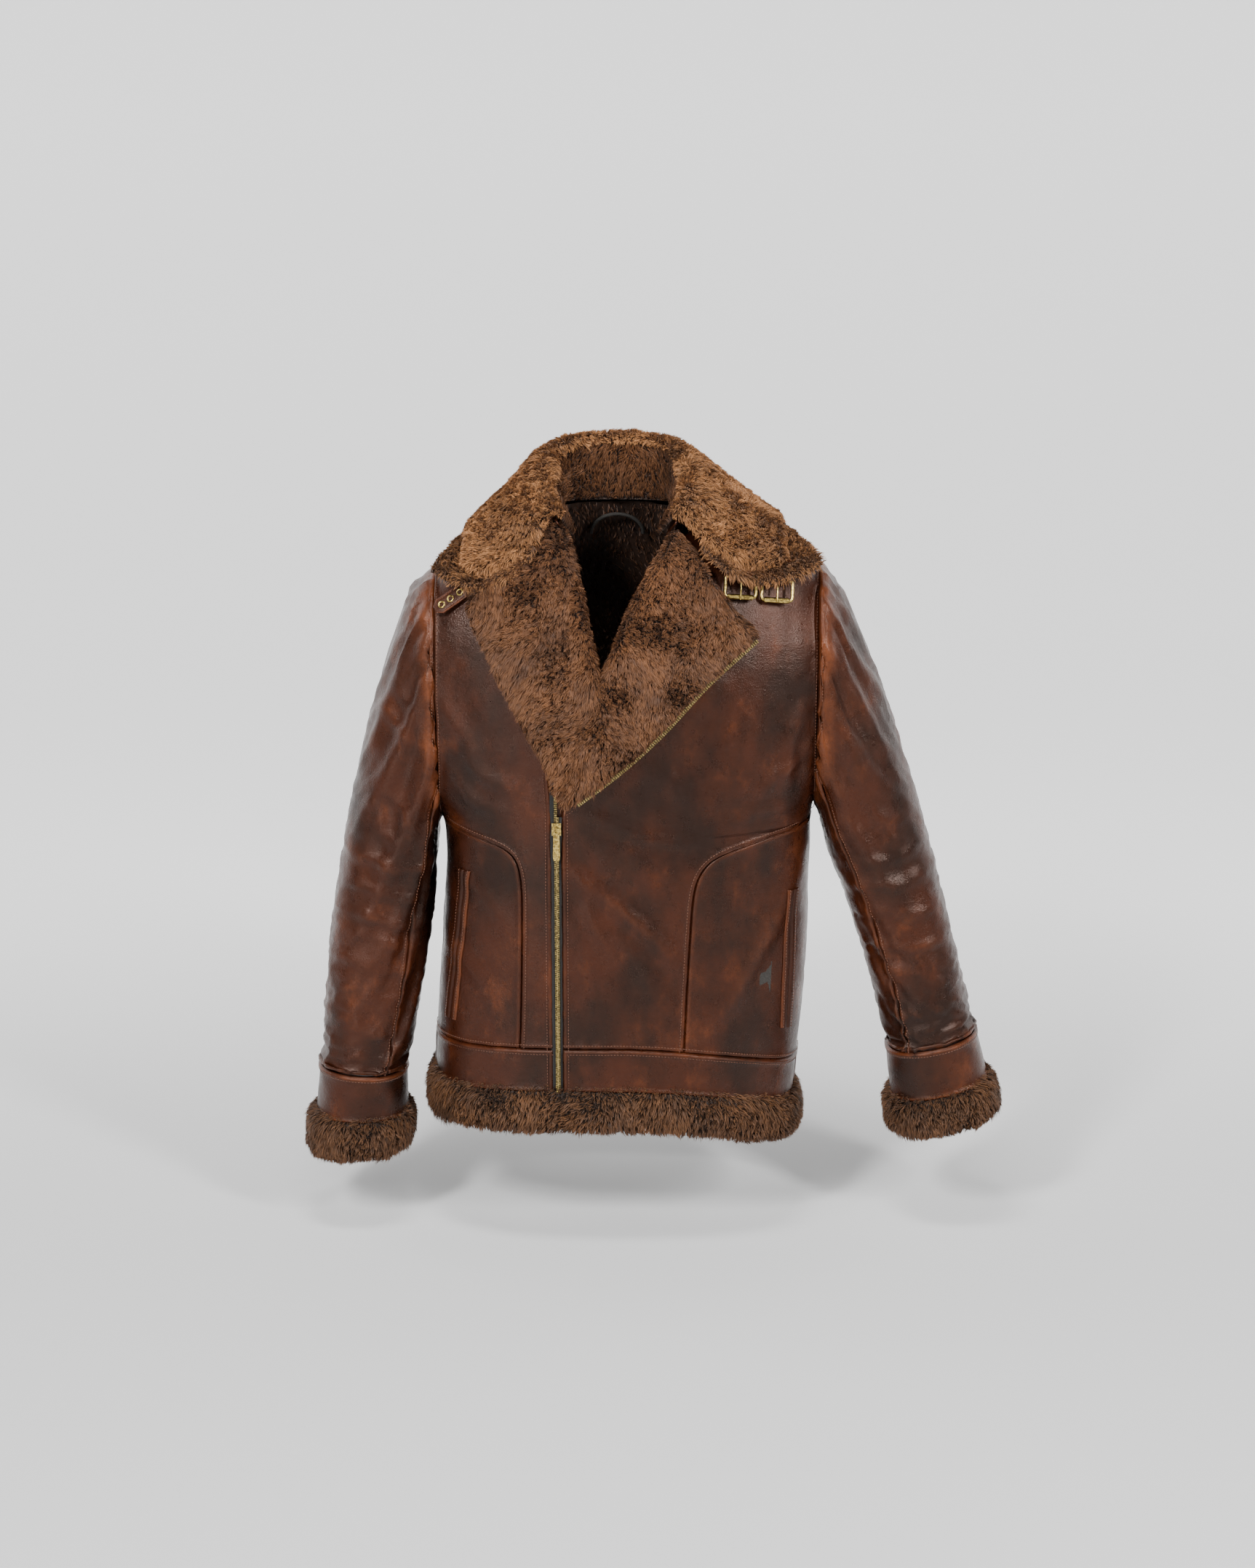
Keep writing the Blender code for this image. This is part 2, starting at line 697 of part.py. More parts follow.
def box_mesh(low, high, frame=None):
    shape = bmesh.new()
    bmesh.ops.create_cube(shape, size=1)
    middle = (Vector(low) + Vector(high)) / 2
    size = Vector(high) - Vector(low)
    for vertex in shape.verts:
        vertex.co = Vector([vertex.co[i] * size[i] for i in range(3)]) + middle
    mesh = bpy.data.meshes.new("box")
    shape.to_mesh(mesh)
    shape.free()
    if frame is not None:
        mesh.transform(frame)
    return mesh


def cutter(name, mesh):
    obj = bpy.data.objects.new(name, mesh)
    obj.hide_render = True
    obj.display_type = "WIRE"
    CUTTERS.objects.link(obj)
    return obj


def boolean(obj, other, operation):
    step = obj.modifiers.new(operation.title(), "BOOLEAN")
    step.operation = operation
    step.object = other


def frame_matrix(place, across, out):
    """Matrix whose x runs across, y up the piece and z outwards."""
    out = out.normalized()
    across = (across - out * across.dot(out)).normalized()
    up = out.cross(across)
    frame = Matrix((across, up, out)).transposed().to_4x4()
    frame.translation = place
    return frame


def slider():
    """Slider body with its bridge, and the pull tab that swings on the bridge."""
    top = zip_point(0, ZIP_TOP, 0)
    at_top = pivot("zip_slider_pivot", top)
    frame = frame_matrix(top, Vector((1, 0, 0)), ZIP_OUT)
    half, low = 0.0052, -SLIDER_LENGTH
    body = add("zip_slider", box_mesh((-half, low, 0.0009), (half, 0, 0.0030), frame), "brass", at_top)
    groove = box_mesh((-0.0034, low - 0.01, -0.01), (0.0034, 0.01, 0.0018), frame)
    boolean(body, cutter("slider_groove", groove), "DIFFERENCE")
    bridge = [(0, -0.0085, 0.0026), (0, -0.0085, 0.0046), (0, -0.0078, 0.0056), (0, -0.0042, 0.0056),
              (0, -0.0035, 0.0046), (0, -0.0035, 0.0026)]
    wire = tube("slider_bridge", [frame @ Vector(p) for p in bridge], 0.0006, "brass")
    JACKET.objects.unlink(wire)
    CUTTERS.objects.link(wire)
    wire.hide_render = True
    wire.display_type = "WIRE"
    boolean(body, wire, "UNION")
    hinge = frame @ Vector((0, -0.0060, 0.0041))
    at_bar = pivot("zip_pull_pivot", hinge)
    hang(at_bar, at_top)
    outline = [(-0.0030, 0.0006), (0.0030, 0.0006), (0.0034, -0.0080), (0.0040, -0.0330),
               (0.0030, -0.0370), (-0.0030, -0.0370), (-0.0040, -0.0330), (-0.0034, -0.0080)]
    hole = [(-0.0016, -0.0006), (0.0016, -0.0006), (0.0016, -0.0045), (-0.0016, -0.0045)]
    frame = frame_matrix(hinge, Vector((1, 0, 0)), ZIP_OUT)
    hang(plate("zip_pull", [outline, hole], 0.0011, frame, "brass"), at_bar)


# ---- lapels -------------------------------------------------------------------------------------
def lapel_rows(fold, edge, side, lift, count):
    rows = []
    for k, (start, end) in enumerate(zip(fold, edge)):
        rise = lift + (LAPEL_LIFT[1] - LAPEL_LIFT[0]) * (k / (len(fold) - 1)) ** 2
        first, last = (end, start) if side < 0 else (start, end)
        angles = theta_at(*first), theta_at(*last)
        rows.append(level_row(*angles, count, rise, first[1], last[1]))
    return rows


def lapels():
    for word, side, fold, edge in (
        ("right", -1, LAPEL_RIGHT_FOLD, LAPEL_RIGHT_EDGE),
        ("left", 1, LAPEL_LEFT_FOLD, LAPEL_LEFT_EDGE),
    ):
        top = skin(theta_at(*fold[-1]), fold[-1][1], LAPEL_LIFT[1] + LEATHER + PILE)
        at_fold = pivot("lapel_%s_pivot" % word, top)
        under = lapel_rows(fold, edge, side, LAPEL_LIFT[0], 6)
        sheet("lapel_%s_leather" % word, under, -LEATHER, "leather", at_fold)
        upper = lapel_rows(fold, edge, side, LAPEL_LIFT[0] + LEATHER + 0.0008, 6)
        sheet("lapel_%s_fur" % word, upper, -PILE, "fur", at_fold)
        if side > 0:
            lapel_zip(edge, at_fold)


def lapel_zip(edge, parent):
    """Open half of the zip along the left lapel's free edge."""
    rows = []
    count = len(edge) - 1
    for k, (x, z) in enumerate(edge):
        rise = LAPEL_LIFT[0] + (LAPEL_LIFT[1] - LAPEL_LIFT[0]) * (k / count) ** 2
        before, after = edge[max(k - 1, 0)], edge[min(k + 1, count)]
        run = Vector((after[0] - before[0], after[1] - before[1])).normalized()
        row = []
        for away in (0.0006, 0.0060):
            x_out, z_out = x + run.y * away, z - run.x * away
            row.append(skin(theta_at(x_out, z_out), z_out, rise))
        rows.append(row)
    sheet("lapel_zip_teeth", rows, -0.0026, "brass", parent)


# ---- collar -------------------------------------------------------------------------------------
def mirrored(point, side):
    return Vector((point.x * side, point.y, point.z))


def collar_at(table, at):
    """Point of a collar line; negative places are on the wearer's right."""
    point = spline_point(table, abs(at))
    if at > 0 and table is COLLAR_EDGE:
        point += Vector(COLLAR_LEFT_REACH) * smooth(at / 0.6)
    return mirrored(point, 1 if at >= 0 else -1)


def collar_point(low, high, at, t):
    """Point between two collar lines; the fall's front ends are bowed down."""
    point = collar_at(low, at).lerp(collar_at(high, at), t)
    if low is COLLAR_EDGE:
        bow = Vector(COLLAR_BOW) * 4 * t * (1 - t) * smooth((abs(at) - 0.72) / 0.28)
        point += mirrored(bow, 1 if at > 0 else -1)
    return point


def collar_rows(low, high, places, count):
    shares = [k / count for k in range(count + 1)]
    return [[collar_point(low, high, at, t) for at in places] for t in shares]


def moved_out(rows, distance):
    """Rows of points moved along the surface's normals."""
    out = []
    for i, row in enumerate(rows):
        moved = []
        for j, point in enumerate(row):
            left, right = row[max(j - 1, 0)], row[min(j + 1, len(row) - 1)]
            low, high = rows[max(i - 1, 0)][j], rows[min(i + 1, len(rows) - 1)][j]
            moved.append(point + (right - left).cross(high - low).normalized() * distance)
        out.append(moved)
    return out


def collar():
    # Seen from outside, rows run from the outer edge up to the fold and places from left to right
    # round the back, so that the sheets' normals point out.
    ring = [1 - k / 10 for k in range(21)]
    stand = collar_rows(COLLAR_NECK, COLLAR_FOLD, ring, 2)
    sheet("collar_stand", moved_out(stand, -0.0012), LEATHER, "leather")
    sheet("collar_stand_fur", moved_out(stand, -0.0036), 0.0065, "fur")
    back = [WING_START * (1 - k / 4) for k in range(9)]
    fall(back, "collar_back", None, 0.0012)
    for word, side in (("left", 1), ("right", -1)):
        start = collar_at(COLLAR_FOLD, side * WING_START)
        end = collar_at(COLLAR_FOLD, side)
        at_fold = pivot("collar_%s_pivot" % word, (start + end) / 2)
        places = [side * (WING_START + 0.012 + (0.988 - WING_START) * k / 6) for k in range(7)]
        fall(places[::-1] if side > 0 else places, "collar_" + word, at_fold, 0.0030)


def fall(places, name, parent, start):
    """Turned down part of the collar: leather below, fur above."""
    rows = collar_rows(COLLAR_EDGE, COLLAR_FOLD, places, 4)
    under = moved_out(rows, start)
    sheet(name + "_leather", under, -LEATHER, "leather", parent)
    sheet(name + "_fur", moved_out(rows, start + LEATHER + 0.0008), -PILE, "fur", parent)


# ---- straps and buckles -------------------------------------------------------------------------
def arc(radius, start, end, count):
    turns = [start + (end - start) * k / count for k in range(count + 1)]
    return [(radius * math.cos(a), radius * math.sin(a)) for a in turns]


def buckle(word, frame, parent):
    """Roller buckle: x across, y up the collar, z outwards; the frame turns on the chape's bar."""
    half, low = BUCKLE_WIDTH / 2, -BUCKLE_HEIGHT
    corners = [(-half, 0, 0), (-half, low, 0), (half, low, 0), (half, 0, 0)]
    at_bar = pivot("buckle_frame_%s_pivot" % word, frame.translation)
    hang(at_bar, parent)
    places = [frame @ Vector(c) for c in corners]
    ring = tube("buckle_frame_" + word, places, BUCKLE_WIRE, "brass", cyclic=True)
    hang(ring, at_bar)
    eye = BUCKLE_WIRE + 0.0003
    across = frame @ Matrix.Rotation(math.pi / 2, 4, "Y")
    roller = across @ Matrix.Translation((0, low, 0))
    rings = [circle(ROLLER_RADIUS, 16), circle(eye, 12)]
    hang(plate("buckle_roller_" + word, rings, BUCKLE_WIDTH - 0.0065, roller, "brass"), at_bar)
    # in the frame called across, outwards is -x
    back, front = -ROLLER_RADIUS - 0.0006, -ROLLER_RADIUS - 0.0026
    outline = [(front, low * 0.75), (front, low - 0.0030), (back, low - 0.0034), (back, low * 0.75)]
    outline += [(-0.0012, -0.0031)] + arc(0.0033, math.radians(-60), math.radians(160), 8)
    prong = plate("buckle_prong_" + word, [outline, circle(eye, 10)], 0.0020, across, "brass")
    hang(prong, at_bar)
    tilt = Matrix.Rotation(CHAPE_TILT, 4, "X")
    loop = arc(0.0036, math.radians(-20), math.radians(-160), 8)
    outer = [(0.0013, CHAPE_TAIL), (0.0013, 0.0060)] + loop + [(-0.0013, 0.0060), (-0.0013, CHAPE_TAIL)]
    turned = frame @ tilt @ Matrix.Rotation(math.pi / 2, 4, "Y")
    chape = plate("buckle_chape_" + word, [outer, circle(eye, 10)], 0.0240, turned, "leather")
    hang(chape, parent)
    slot = box_mesh((-0.0020, -0.0120, -0.0120), (0.0020, 0.0045, 0.0120), frame @ tilt)
    boolean(chape, cutter("chape_slot_" + word, slot), "DIFFERENCE")


def strap(root, tip, out, parent):
    """Pointed leather tongue that hangs from the collar's edge, facing out."""
    along = (tip - root).normalized()
    across = out.cross(along).normalized()
    half, length, point = STRAP_WIDTH / 2, (tip - root).length, 0.0060
    outline = [(-half, 0), (-half, point - length), (point - half, -length), (half - point, -length),
               (half, point - length), (half, 0)]
    frame = Matrix((across, -along, across.cross(-along))).transposed().to_4x4()
    frame.translation = root
    at_root = pivot("eyelet_strap_pivot", root)
    hang(at_root, parent)
    hang(plate("eyelet_strap", [outline], STRAP_THICK, frame, "leather"), at_root)


def collar_front(x, side):
    """Point on the lower front edge of the fall nearest to x."""
    shares = [k / 40 for k in range(41)]
    points = [collar_point(COLLAR_EDGE, COLLAR_FOLD, 0.99 * side, t) for t in shares]
    return min(points, key=lambda point: abs(point.x - x))


def fastenings():
    left = bpy.data.objects["collar_left_pivot"]
    for word, x in BUCKLES:
        place = collar_front(x, 1) + Vector(BUCKLE_DROP)
        frame = frame_matrix(place, Vector((1, 0.06, -0.07)), Vector((0.10, -1.0, BUCKLE_LEAN[word])))
        buckle(word, frame, left)
    root = collar_front(STRAP_ROOT, -1) + Vector(STRAP_DROP)
    angle = theta_at(*STRAP_TIP)
    tip = skin(angle, STRAP_TIP[1], STRAP_LIFT)
    strap(root, tip, tip - skin(angle, STRAP_TIP[1]), bpy.data.objects["collar_right_pivot"])


# ---- sleeves ------------------------------------------------------------------------------------
def arm_ring(outer, inner, depth, middle_y, side, start, end, count, lift=0.0, fullness=2.25):
    """Part of a ring round the arm; angle 0 is outside, 90 the front, 180 the inside."""
    top = Vector((side * outer[0], middle_y, outer[1]))
    low = Vector((side * inner[0], middle_y, inner[1]))
    centre, reach = (top + low) / 2, (top - low) / 2
    reach = reach.normalized() * (reach.length + lift)
    deep = Vector((0, -(depth + lift), 0))
    row = []
    for k in range(count):
        angle = start + (end - start) * k / max(count - 1, 1)
        cosine, sine = math.cos(angle), math.sin(angle)
        power = 2 / fullness
        along = math.copysign(abs(cosine) ** power, cosine)
        out = math.copysign(abs(sine) ** power, sine)
        row.append(centre + reach * along + deep * out)
    return row


def sleeve_row(arm, t, start, end, count, lift=0.0):
    outer, inner = spline_point(arm["outer"], t), spline_point(arm["inner"], t)
    depth, middle = spline(SLEEVE_DEPTH, t), spline(SLEEVE_Y, t)
    fullness = spline(SLEEVE_FULLNESS, t)
    return arm_ring(outer, inner, depth, middle, arm["side"], start, end, count, lift, fullness)


def facing_out(rows, side):
    """Rows from the cuff up, so that the sheet's normal points away from the arm."""
    return [row if side > 0 else row[::-1] for row in rows]


def sleeve(word, arm):
    side = arm["side"]
    middle = Vector((side * (ARMHOLE_LEFT if side > 0 else ARMHOLE_RIGHT), -0.012, -0.222))
    at_shoulder = pivot("sleeve_%s_pivot" % word, middle)
    shares = (1.0, 0.88, 0.76, 0.64, 0.52, 0.40, 0.28, 0.17, 0.08, 0.0)
    split = 0.012
    top, under = [], []
    for t in shares:
        top.append(sleeve_row(arm, t, FRONT_SEAM - split, BACK_SEAM - 2 * math.pi + split, 14))
        under.append(sleeve_row(arm, t, BACK_SEAM - split, FRONT_SEAM + split, 9))
    sheet("sleeve_%s_top" % word, facing_out(top, side), LEATHER, "leather", at_shoulder)
    sheet("sleeve_%s_under" % word, facing_out(under, side), LEATHER, "leather", at_shoulder)
    turn = 2 * math.pi * (1 - 1 / 14)
    inside = [sleeve_row(arm, t, turn, 0, 14, -0.0034 - 0.09 * (1 - t) ** 8) for t in shares[:-2]]
    sheet("sleeve_%s_lining" % word, facing_out(inside, side), 0.0040, "lining", at_shoulder,
          closed=True)
    end_outer, end_inner = arm["outer"][-1][1], arm["inner"][-1][1]
    depth, level = SLEEVE_DEPTH[-1][1], SLEEVE_Y[-1][1]
    rows = []
    for share, lift in ((1.0, 0.0006), (0.5, 0.0006), (0.035, 0.0006)):
        ends = [Vector(a).lerp(Vector(b), share) for a, b in
                ((end_outer, arm["cuff"][0]), (end_inner, arm["cuff"][1]))]
        rows.append(arm_ring(*ends, depth, level, side, turn, 0, 14, lift))
    sheet("cuff_band_" + word, facing_out(rows, side), LEATHER + 0.0006, "leather", at_shoulder,
          closed=True)
    rows = []
    for share, lift in ((1.0, 0.0010), (0.75, 0.0068), (0.30, 0.0068), (0.04, 0.0020)):
        ends = [Vector(a).lerp(Vector(b), share) for a, b in zip(arm["cuff"], arm["fur"])]
        rows.append(arm_ring(*ends, depth, level, side, turn, 0, 14, lift))
    sheet("cuff_fur_" + word, facing_out(rows, side), PILE + 0.002, "fur", at_shoulder, closed=True)


# ---- hanger loop --------------------------------------------------------------------------------
def hanger_loop():
    """Cord loop sewn inside the back of the neck."""
    base = skin(theta_at(0.0, -0.050, True), -0.050, LINING_LIFT - LINING - 0.0080)
    points = []
    for k in range(9):
        turn = math.pi * k / 8
        rise = math.sin(turn)
        points.append((0.030 * math.cos(turn), base.y - 0.012 * rise, base.z + 0.024 * rise))
    tube("hanger_loop", points, 0.0020, "cotton")


body()
hem()
linings()
pockets()
closed_zip()
slider()
lapels()
collar()
fastenings()
for arm_word, arm_sizes in SLEEVE.items():
    sleeve(arm_word, arm_sizes)
hanger_loop()
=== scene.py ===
"""Looks of the leather riding jacket: worn leather, plush fur, stitching, zip and buckles on the CAD frame.

Metres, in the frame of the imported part: +X is the wearer's left, -Y the front and +Z up.
"""

import math

import bpy
import numpy as np
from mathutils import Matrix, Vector


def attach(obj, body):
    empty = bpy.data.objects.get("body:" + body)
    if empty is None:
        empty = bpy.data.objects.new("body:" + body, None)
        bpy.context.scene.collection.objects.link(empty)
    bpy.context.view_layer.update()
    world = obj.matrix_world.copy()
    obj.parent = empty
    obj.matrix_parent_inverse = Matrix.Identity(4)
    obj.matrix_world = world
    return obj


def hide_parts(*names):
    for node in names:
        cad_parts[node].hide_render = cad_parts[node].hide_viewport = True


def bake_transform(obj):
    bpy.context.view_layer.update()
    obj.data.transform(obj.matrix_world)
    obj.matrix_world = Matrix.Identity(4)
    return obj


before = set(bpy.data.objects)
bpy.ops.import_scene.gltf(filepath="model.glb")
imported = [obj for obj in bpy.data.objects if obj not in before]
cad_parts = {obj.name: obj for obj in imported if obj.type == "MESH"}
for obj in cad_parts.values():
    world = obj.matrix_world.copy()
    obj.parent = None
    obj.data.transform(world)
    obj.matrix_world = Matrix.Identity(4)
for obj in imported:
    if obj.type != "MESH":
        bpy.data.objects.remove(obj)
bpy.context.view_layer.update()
RNG = np.random.default_rng(11)

# ---- sizes that the CAD part is built on --------------------------------------------------------
FULLNESS = 2.6
ARMHOLE = {-1: 0.203, 1: 0.226}
ARMPIT = -0.39
HEM_SEAM, LEATHER_END, YOKE_SEAM, NECK_TOP = -0.619, -0.672, -0.15, -0.014
HANG_START, HANG_LENGTH, SIDE = -0.36, 0.16, 0.21
HANG = {-1: 0.009, 1: 0.038}
ZIP_X, ZIP_HALF, ZIP_TOP, RIGHT_TEETH_TOP = -0.067, 0.0052, -0.351, -0.302
HALF = {
    -1: ((-0.72, 0.214), (-0.672, 0.213), (-0.54, 0.206), (-0.447, 0.1995), (-0.4, 0.1985),
         (-0.366, 0.2028), (-0.33, 0.222), (-0.25, 0.247), (-0.17, 0.249), (-0.12, 0.232),
         (-0.088, 0.203), (-0.068, 0.163), (-0.048, 0.124), (-0.03, 0.094), (-0.012, 0.077)),
    1: ((-0.72, 0.207), (-0.672, 0.208), (-0.58, 0.214), (-0.49, 0.2195), (-0.4, 0.2205),
        (-0.348, 0.2258), (-0.31, 0.243), (-0.23, 0.262), (-0.16, 0.262), (-0.11, 0.243),
        (-0.08, 0.2262), (-0.066, 0.182), (-0.048, 0.128), (-0.03, 0.096), (-0.012, 0.077)),
}
DEPTH_FRONT = ((-0.72, 0.1243), (-0.6, 0.126), (-0.45, 0.1281), (-0.3, 0.1302), (-0.22, 0.127),
               (-0.16, 0.119), (-0.12, 0.108), (-0.09, 0.097), (-0.06, 0.082), (-0.035, 0.068),
               (-0.012, 0.056))
DEPTH_BACK = ((-0.72, 0.122), (-0.6, 0.126), (-0.45, 0.13), (-0.3, 0.136), (-0.2, 0.132),
              (-0.12, 0.119), (-0.07, 0.102), (-0.04, 0.087), (-0.012, 0.07))
SIDE_SEAM = {
    -1: ((-0.111, -0.619), (-0.108, -0.54), (-0.1065, -0.47), (-0.107, -0.43), (-0.111, -0.404),
         (-0.12, -0.39), (-0.135, -0.3825), (-0.155, -0.377), (-0.174, -0.373),
         (-0.188, -0.3705), (-0.197, -0.369), (-0.201, -0.3675)),
    1: ((0.076, -0.619), (0.0795, -0.54), (0.083, -0.475), (0.086, -0.436), (0.092, -0.414),
        (0.104, -0.3985), (0.12, -0.3895), (0.145, -0.3815), (0.174, -0.375), (0.208, -0.37)),
}
FOLD_EDGE = {
    1: ((-0.056, -0.338), (-0.039, -0.275), (-0.02, -0.213), (0.007, -0.15),
        (0.032, -0.098), (0.058, -0.045), (0.068, -0.027), (0.072, NECK_TOP)),
    -1: ((-0.0722, -0.338), (-0.0722, -0.276), (-0.05, -0.248), (-0.027, -0.213),
         (-0.039, -0.15), (-0.05, -0.095), (-0.06, -0.045), (-0.068, -0.027),
         (-0.072, NECK_TOP)),
}
LAPEL = {
    -1: (((-0.06, -0.318), (-0.049, -0.284), (-0.0385, -0.252), (-0.026, -0.215),
          (-0.0375, -0.15), (-0.049, -0.095), (-0.06, -0.05)),
         ((-0.066, -0.313), (-0.0765, -0.284), (-0.091, -0.255), (-0.114, -0.212),
          (-0.145, -0.15), (-0.158, -0.122), (-0.1555, -0.1085))),
    1: (((-0.052, -0.326), (-0.036, -0.274), (-0.017, -0.213), (0.01, -0.15),
         (0.034, -0.098), (0.057, -0.061)),
        ((-0.046, -0.324), (0.002, -0.286), (0.045, -0.246), (0.089, -0.198),
         (0.119, -0.17), (0.149, -0.145))),
}
LAPEL_LIFT = (0.0046, 0.006)
COLLAR_AT = (0.0, 0.2, 0.4, 0.6, 0.8, 1.0)
COLLAR_NECK = ((0.0000, 0.066, -0.008), (0.034, 0.06, -0.008), (0.062, 0.04, -0.0085),
               (0.0715, 0.008, -0.0095), (0.068, -0.028, -0.016), (0.056, -0.064, -0.04))
COLLAR_FOLD = ((0.0000, 0.08, 0.044), (0.038, 0.073, 0.042), (0.069, 0.05, 0.035),
               (0.08, 0.01, 0.021), (0.08, -0.035, 0.001), (0.066, -0.08, -0.024))
COLLAR_EDGE = ((0.0000, 0.124, -0.045), (0.066, 0.119, -0.047), (0.128, 0.096, -0.059),
               (0.158, 0.052, -0.06), (0.174, -0.005, -0.064), (0.185, -0.064, -0.083))
COLLAR_LEFT_REACH = np.array((0.02, 0.0, 0.007))
COLLAR_BOW = np.array((-0.006, -0.016, -0.02))
COLLAR_DROP = np.array((0.0, -0.006, -0.011))
WING_START = 0.4
ARM_AT = (0.0, 0.06, 0.14, 0.25, 0.38, 0.52, 0.66, 0.8, 1.0)
ARMS = {
    "right": {"side": -1, "outer": ((0.2043, -0.09), (0.233, -0.106), (0.253, -0.154), (0.276, -0.215),
                        (0.296, -0.285), (0.314, -0.365), (0.329, -0.447), (0.3395, -0.53),
                        (0.348, -0.664)),
              "inner": ((0.2043, -0.364), (0.2044, -0.371), (0.2047, -0.381), (0.2052, -0.396),
                        (0.207, -0.42), (0.212, -0.455), (0.221, -0.508), (0.233, -0.575),
                        (0.248, -0.671)),
              "cuff": ((0.3535, -0.7255), (0.248, -0.7265)), "fur": ((0.356, -0.767), (0.252, -0.764))},
    "left": {"side": 1, "outer": ((0.2272, -0.082), (0.25, -0.1), (0.276, -0.152), (0.307, -0.22),
                       (0.331, -0.29), (0.356, -0.365), (0.376, -0.44), (0.396, -0.52),
                       (0.419, -0.622)),
             "inner": ((0.2272, -0.346), (0.2275, -0.352), (0.23, -0.361), (0.236, -0.376),
                       (0.248, -0.4), (0.265, -0.438), (0.283, -0.49), (0.302, -0.556),
                       (0.316, -0.645)),
             "cuff": ((0.433, -0.681), (0.322, -0.707)), "fur": ((0.442, -0.718), (0.328, -0.744))},
}
SLEEVE_DEPTH = ((0.0, 0.0915), (0.2, 0.082), (0.45, 0.075), (0.7, 0.066), (1.0, 0.056))
SLEEVE_Y = ((0.0, 0.002), (0.4, -0.004), (1.0, -0.03))
SLEEVE_FULLNESS = ((0.0, 2.65), (0.2, 2.25), (1.0, 2.25))
FRONT_SEAM, BACK_SEAM = math.radians(128), math.radians(238)
PANEL_WALL, TRIM_WALL = 0.0013, 0.0014


# ---- curves, surfaces and noise -----------------------------------------------------------------
def smooth(value):
    value = np.clip(value, 0, 1)
    return value * value * (3 - 2 * value)


def spline(table, at):
    """Values at places on the smooth curve through rows of (place, value)."""
    places = np.array([row[0] for row in table], float)
    values = np.array([row[1] for row in table], float)
    at = np.clip(np.asarray(at, float), places[0], places[-1])
    i = np.clip(np.searchsorted(places, at, "right") - 1, 0, len(places) - 2)
    low = np.maximum(np.arange(len(places)) - 1, 0)
    high = np.minimum(np.arange(len(places)) + 1, len(places) - 1)
    gaps = places[high] - places[low]
    slopes = (values[high] - values[low]) / (gaps[:, None] if values.ndim > 1 else gaps)
    width = places[i + 1] - places[i]
    t = (at - places[i]) / width
    if values.ndim > 1:
        t, width = t[..., None], width[..., None]
    ease = t * t * (3 - 2 * t)
    rise = slopes[i] * width * (t**3 - 2 * t * t + t) + slopes[i + 1] * width * (t**3 - t * t)
    return values[i] * (1 - ease) + values[i + 1] * ease + rise


def half_width(z, left):
    return np.where(left, spline(HALF[1], z), spline(HALF[-1], z))


def body_point(theta, z):
    cosine, sine = np.cos(theta), np.sin(theta)
    depth = np.where(sine > 0, spline(DEPTH_FRONT, z), spline(DEPTH_BACK, z))
    x = np.sign(cosine) * half_width(z, cosine > 0) * np.abs(cosine) ** (2 / FULLNESS)
    y = -np.sign(sine) * depth * np.abs(sine) ** (2 / FULLNESS)
    dip = np.where(x > 0, HANG[1], HANG[-1])
    return np.stack((x, y, z - dip * smooth((HANG_START - z) / HANG_LENGTH) * (x / SIDE) ** 2), -1)


def unit(vectors):
    return vectors / np.maximum(np.linalg.norm(vectors, axis=-1, keepdims=True), 1e-12)


def skin_normal(theta, z):
    step = 2e-4
    across = body_point(theta - step, z) - body_point(theta + step, z)
    up = body_point(theta, z + step) - body_point(theta, z - step)
    return unit(np.cross(across, up))


def skin(theta, z, lift=0.0):
    theta, z = np.broadcast_arrays(np.asarray(theta, float), np.asarray(z, float))
    return body_point(theta, z) + skin_normal(theta, z) * np.asarray(lift)[..., None]


def theta_at(x, z, back=False):
    x, z = np.broadcast_arrays(np.asarray(x, float), np.asarray(z, float))
    share = np.minimum(np.abs(x) / half_width(z, x > 0), 1.0) ** (FULLNESS / 2)
    theta = np.arccos(share)
    theta = np.where(x < 0, math.pi - theta, theta)
    return 2 * math.pi - theta if back else theta


def side_angle(z, side, back=False):
    """Angle of the armhole edge, or of the side or shoulder seam, at heights z."""
    z = np.asarray(z, float)
    half = half_width(z, np.full(z.shape, side > 0))
    plane = ARMHOLE[side]
    arm = theta_at(np.full(z.shape, side * plane), z, back)
    edge = np.full(z.shape, 0.0012)
    seam = edge if side > 0 else math.pi - edge
    seam = 2 * math.pi - seam if back else seam
    return np.where((z > ARMPIT) & (half > plane), arm, seam)


def lattice(i, j, k, seed):
    mixed = (i * 374761393 + j * 668265263 + k * 1440662683 + seed * 974711) & 0xFFFFFFFF
    mixed = ((mixed ^ (mixed >> 13)) * 1274126177) & 0xFFFFFFFF
    return ((mixed ^ (mixed >> 16)) & 0xFFFF) / 32767.5 - 1


def noise(points, size, seed=0):
    """Smooth noise from -1 to 1 at points, with features of a size (one, or one for each axis)."""
    scaled = np.asarray(points) / np.asarray(size)
    base = np.floor(scaled).astype(np.int64)
    part = smooth(scaled - base)
    total = 0.0
    for a in (0, 1):
        for b in (0, 1):
            for c in (0, 1):
                weight = np.where(a, part[..., 0], 1 - part[..., 0])
                weight = weight * np.where(b, part[..., 1], 1 - part[..., 1])
                weight = weight * np.where(c, part[..., 2], 1 - part[..., 2])
                total = total + weight * lattice(base[..., 0] + a, base[..., 1] + b, base[..., 2] + c, seed)
    return total


def normals_of(grid, closed=False):
    """Unit normals of a grid whose columns run left to right and rows run up, seen from outside."""
    if closed:
        across = np.roll(grid, -1, 1) - np.roll(grid, 1, 1)
    else:
        across = np.gradient(grid, axis=1)
    return unit(np.cross(across, np.gradient(grid, axis=0)))


